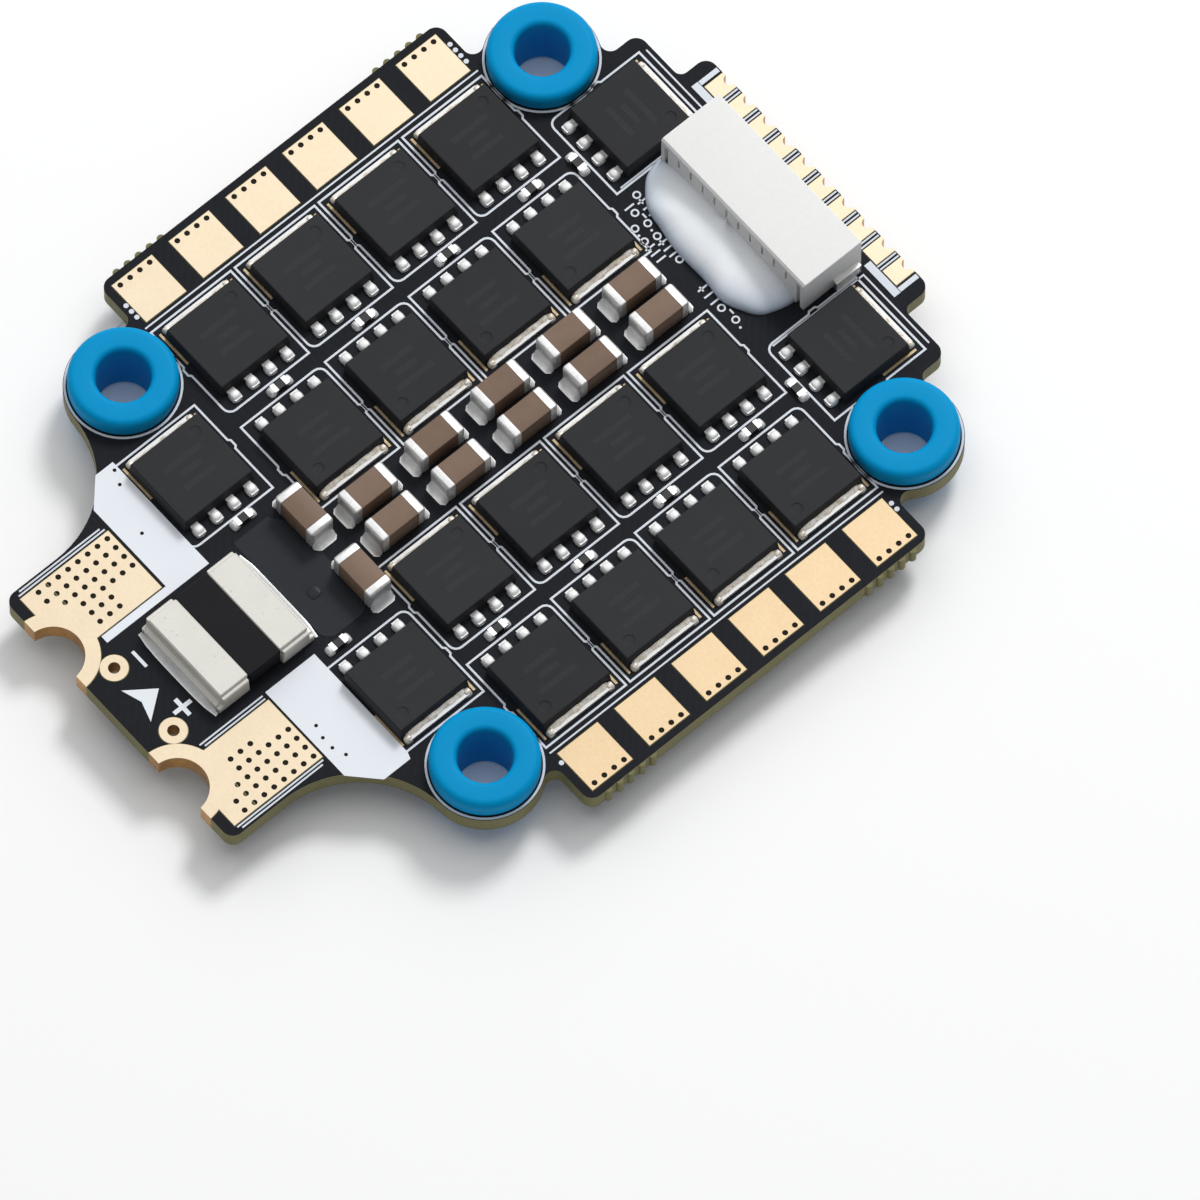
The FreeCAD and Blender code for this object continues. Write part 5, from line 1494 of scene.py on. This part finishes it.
    def filler_ticks(self) -> Patch:
        """Return plain rings, bars and squares near the connector, in place of lettering."""
        ring = line_patch(circle_path(0.2, 12), 0.1, self.height, closed=True)
        bar = line_patch([(0.0, -0.33), (0.0, 0.33)], 0.11, self.height)
        cap = line_patch([(-0.17, 0.28), (0.17, 0.28)], 0.11, self.height)
        dot = disc_patch(0.08, self.height, 10)
        kinds = (ring, bar, ring.moved(0.0, 0.12), join([bar, cap.moved(0.0, -0.36)]), ring, dot, bar, cap)
        parts = []
        rows = ((13.75, -5.5, -2.2, 0.47), (12.95, -5.2, -0.9, 0.47), (12.2, -4.0, -1.5, 0.47),
                (12.75, 1.2, 4.4, 0.53))
        for row, (y, start, stop, pitch) in enumerate(rows):
            xs = np.arange(start, stop, pitch)
            parts += [kinds[(3 * i + row) % len(kinds)].moved(x, y) for i, x in enumerate(xs)]
        return join(parts).moved(z=FACE_Z[Side.TOP])

    def under_marks(self) -> Patch:
        """Return the broad bracket round the supply corner and the boxes of diodes and inductor."""
        bracket = [(9.8, -21.35), (5.95, -21.35), (5.95, -25.65), (-4.6, -25.65), (-4.6, -23.75),
                   (-6.35, -23.75), (-6.35, -21.35), (-9.5, -21.35)]
        parts = [line_patch(bracket, 0.55, self.height)]
        for low, high in node_solids("diode_bodies"):
            size, middle = high - low, (low + high) / 2.0
            lying = size[0] > size[1]
            margins = (0.62, 0.3) if lying else (0.3, 0.62)
            half_x, half_y = size[0] / 2.0 + margins[0], size[1] / 2.0 + margins[1]
            box = rounded_outline(half_x, half_y, 0.02, 2) + middle[:2]
            parts.append(line_patch(box, 0.14, self.height, closed=True))
            bar = np.array([(half_x + 0.2, -half_y), (half_x + 0.2, half_y)])
            if not lying:
                bar = np.array([(-half_x, -half_y - 0.2), (half_x, -half_y - 0.2)])
            parts.append(line_patch(bar + middle[:2], 0.26, self.height))
        low, high = box_of("inductor_terminals")
        half, middle = (high - low) / 2.0, (high + low) / 2.0
        box = rounded_outline(half[1] + 0.1, half[1] + 0.2, 0.02, 2) + middle[:2]
        parts.append(line_patch(box, 0.15, self.height, closed=True))
        return self.on_face(join(parts), Side.UNDER)


@dataclass
class Studio:
    """Pale floor, soft lights and the camera."""

    azimuth: float = 49.1
    elevation: float = 65.0
    distance: float = 1.6
    lens: float = 871.3
    aim_right: float = 4.76
    aim_down: float = 10.46
    floor_glow: float = 0.02
    sky: float = 0.27

    def build(self) -> None:
        """Lay the floor, hang the lights and set the camera."""
        self.floor()
        self.lights()
        self.camera()

    def floor(self) -> None:
        """Lay a broad pale floor under the grommet feet."""
        half = 1.5
        mesh = bpy.data.meshes.new("floor")
        corners = [(-half, -half, 0), (half, -half, 0), (half, half, 0), (-half, half, 0)]
        mesh.from_pydata(corners, [], [(0, 1, 2, 3)])
        white = bpy.data.materials.new("floor_white")
        white.use_nodes = True
        shader = white.node_tree.nodes["Principled BSDF"]
        shader.inputs["Base Color"].default_value = (0.93, 0.93, 0.93, 1.0)
        shader.inputs["Roughness"].default_value = 0.9
        shader.inputs["Specular IOR Level"].default_value = 0.1
        shader.inputs["Emission Color"].default_value = (1.0, 1.0, 1.0, 1.0)
        shader.inputs["Emission Strength"].default_value = self.floor_glow
        mesh.materials.append(white)
        made = bpy.data.objects.new("floor", mesh)
        bpy.context.scene.collection.objects.link(made)

    def lights(self) -> None:
        """Hang a broad panel where flat metal mirrors it, a key above the far edge, and an even sky."""
        world = bpy.data.worlds.new("studio")
        world.use_nodes = True
        sky = world.node_tree.nodes["Background"]
        sky.inputs["Color"].default_value = (0.97, 0.985, 1.0, 1.0)
        sky.inputs["Strength"].default_value = self.sky
        bpy.context.scene.world = world
        for name, bearing, height, reach, size, power in (("panel", 88.0, 60.0, 0.8, 1.6, 6.0),
                                                          ("key", 64.0, 50.0, 0.8, 0.24, 3.1)):
            a, e = math.radians(self.azimuth + bearing), math.radians(height)
            place = Vector((math.cos(a) * math.cos(e), math.sin(a) * math.cos(e), math.sin(e))) * reach
            lamp = bpy.data.lights.new(name, "AREA")
            lamp.shape = "DISK"
            lamp.size = size
            lamp.energy = power
            made = bpy.data.objects.new(name, lamp)
            made.location = place
            made.rotation_euler = place.to_track_quat("Z", "Y").to_euler()
            bpy.context.scene.collection.objects.link(made)

    def camera(self) -> None:
        """Look along azimuth and elevation, aimed a little beside the board's middle."""
        a, e = math.radians(self.azimuth), math.radians(self.elevation)
        look = Vector((-math.sin(a) * math.cos(e), math.cos(a) * math.cos(e), -math.sin(e)))
        right = Vector((math.cos(a), math.sin(a), 0.0))
        up = right.cross(look)
        aim = (Vector((0.0, 0.0, FACE_Z[Side.TOP])) + right * self.aim_right - up * self.aim_down) * MM
        lens = bpy.data.cameras.new("camera")
        lens.lens = self.lens
        lens.sensor_width = 36.0
        lens.clip_end = 10.0
        made = bpy.data.objects.new("camera", lens)
        turn = Matrix((right, up, -look)).transposed()
        made.matrix_world = Matrix.Translation(aim - look * self.distance) @ turn.to_4x4()
        bpy.context.scene.collection.objects.link(made)
        bpy.context.scene.camera = made


def main() -> None:
    """Build every sub-assembly in order and report each piece."""
    logging.basicConfig(level=logging.INFO, format="%(message)s")
    bpy.context.scene.view_settings.view_transform = "Standard"
    for part in (BareBoard(), Transistors(), BulkCapacitors(), Shunt(), SignalConnector(), Grommets(),
                 ChipParts(), ControlChips(), Print(), Studio()):
        log.info("building %s", type(part).__name__)
        part.build()


if __name__ == "__main__":
    main()
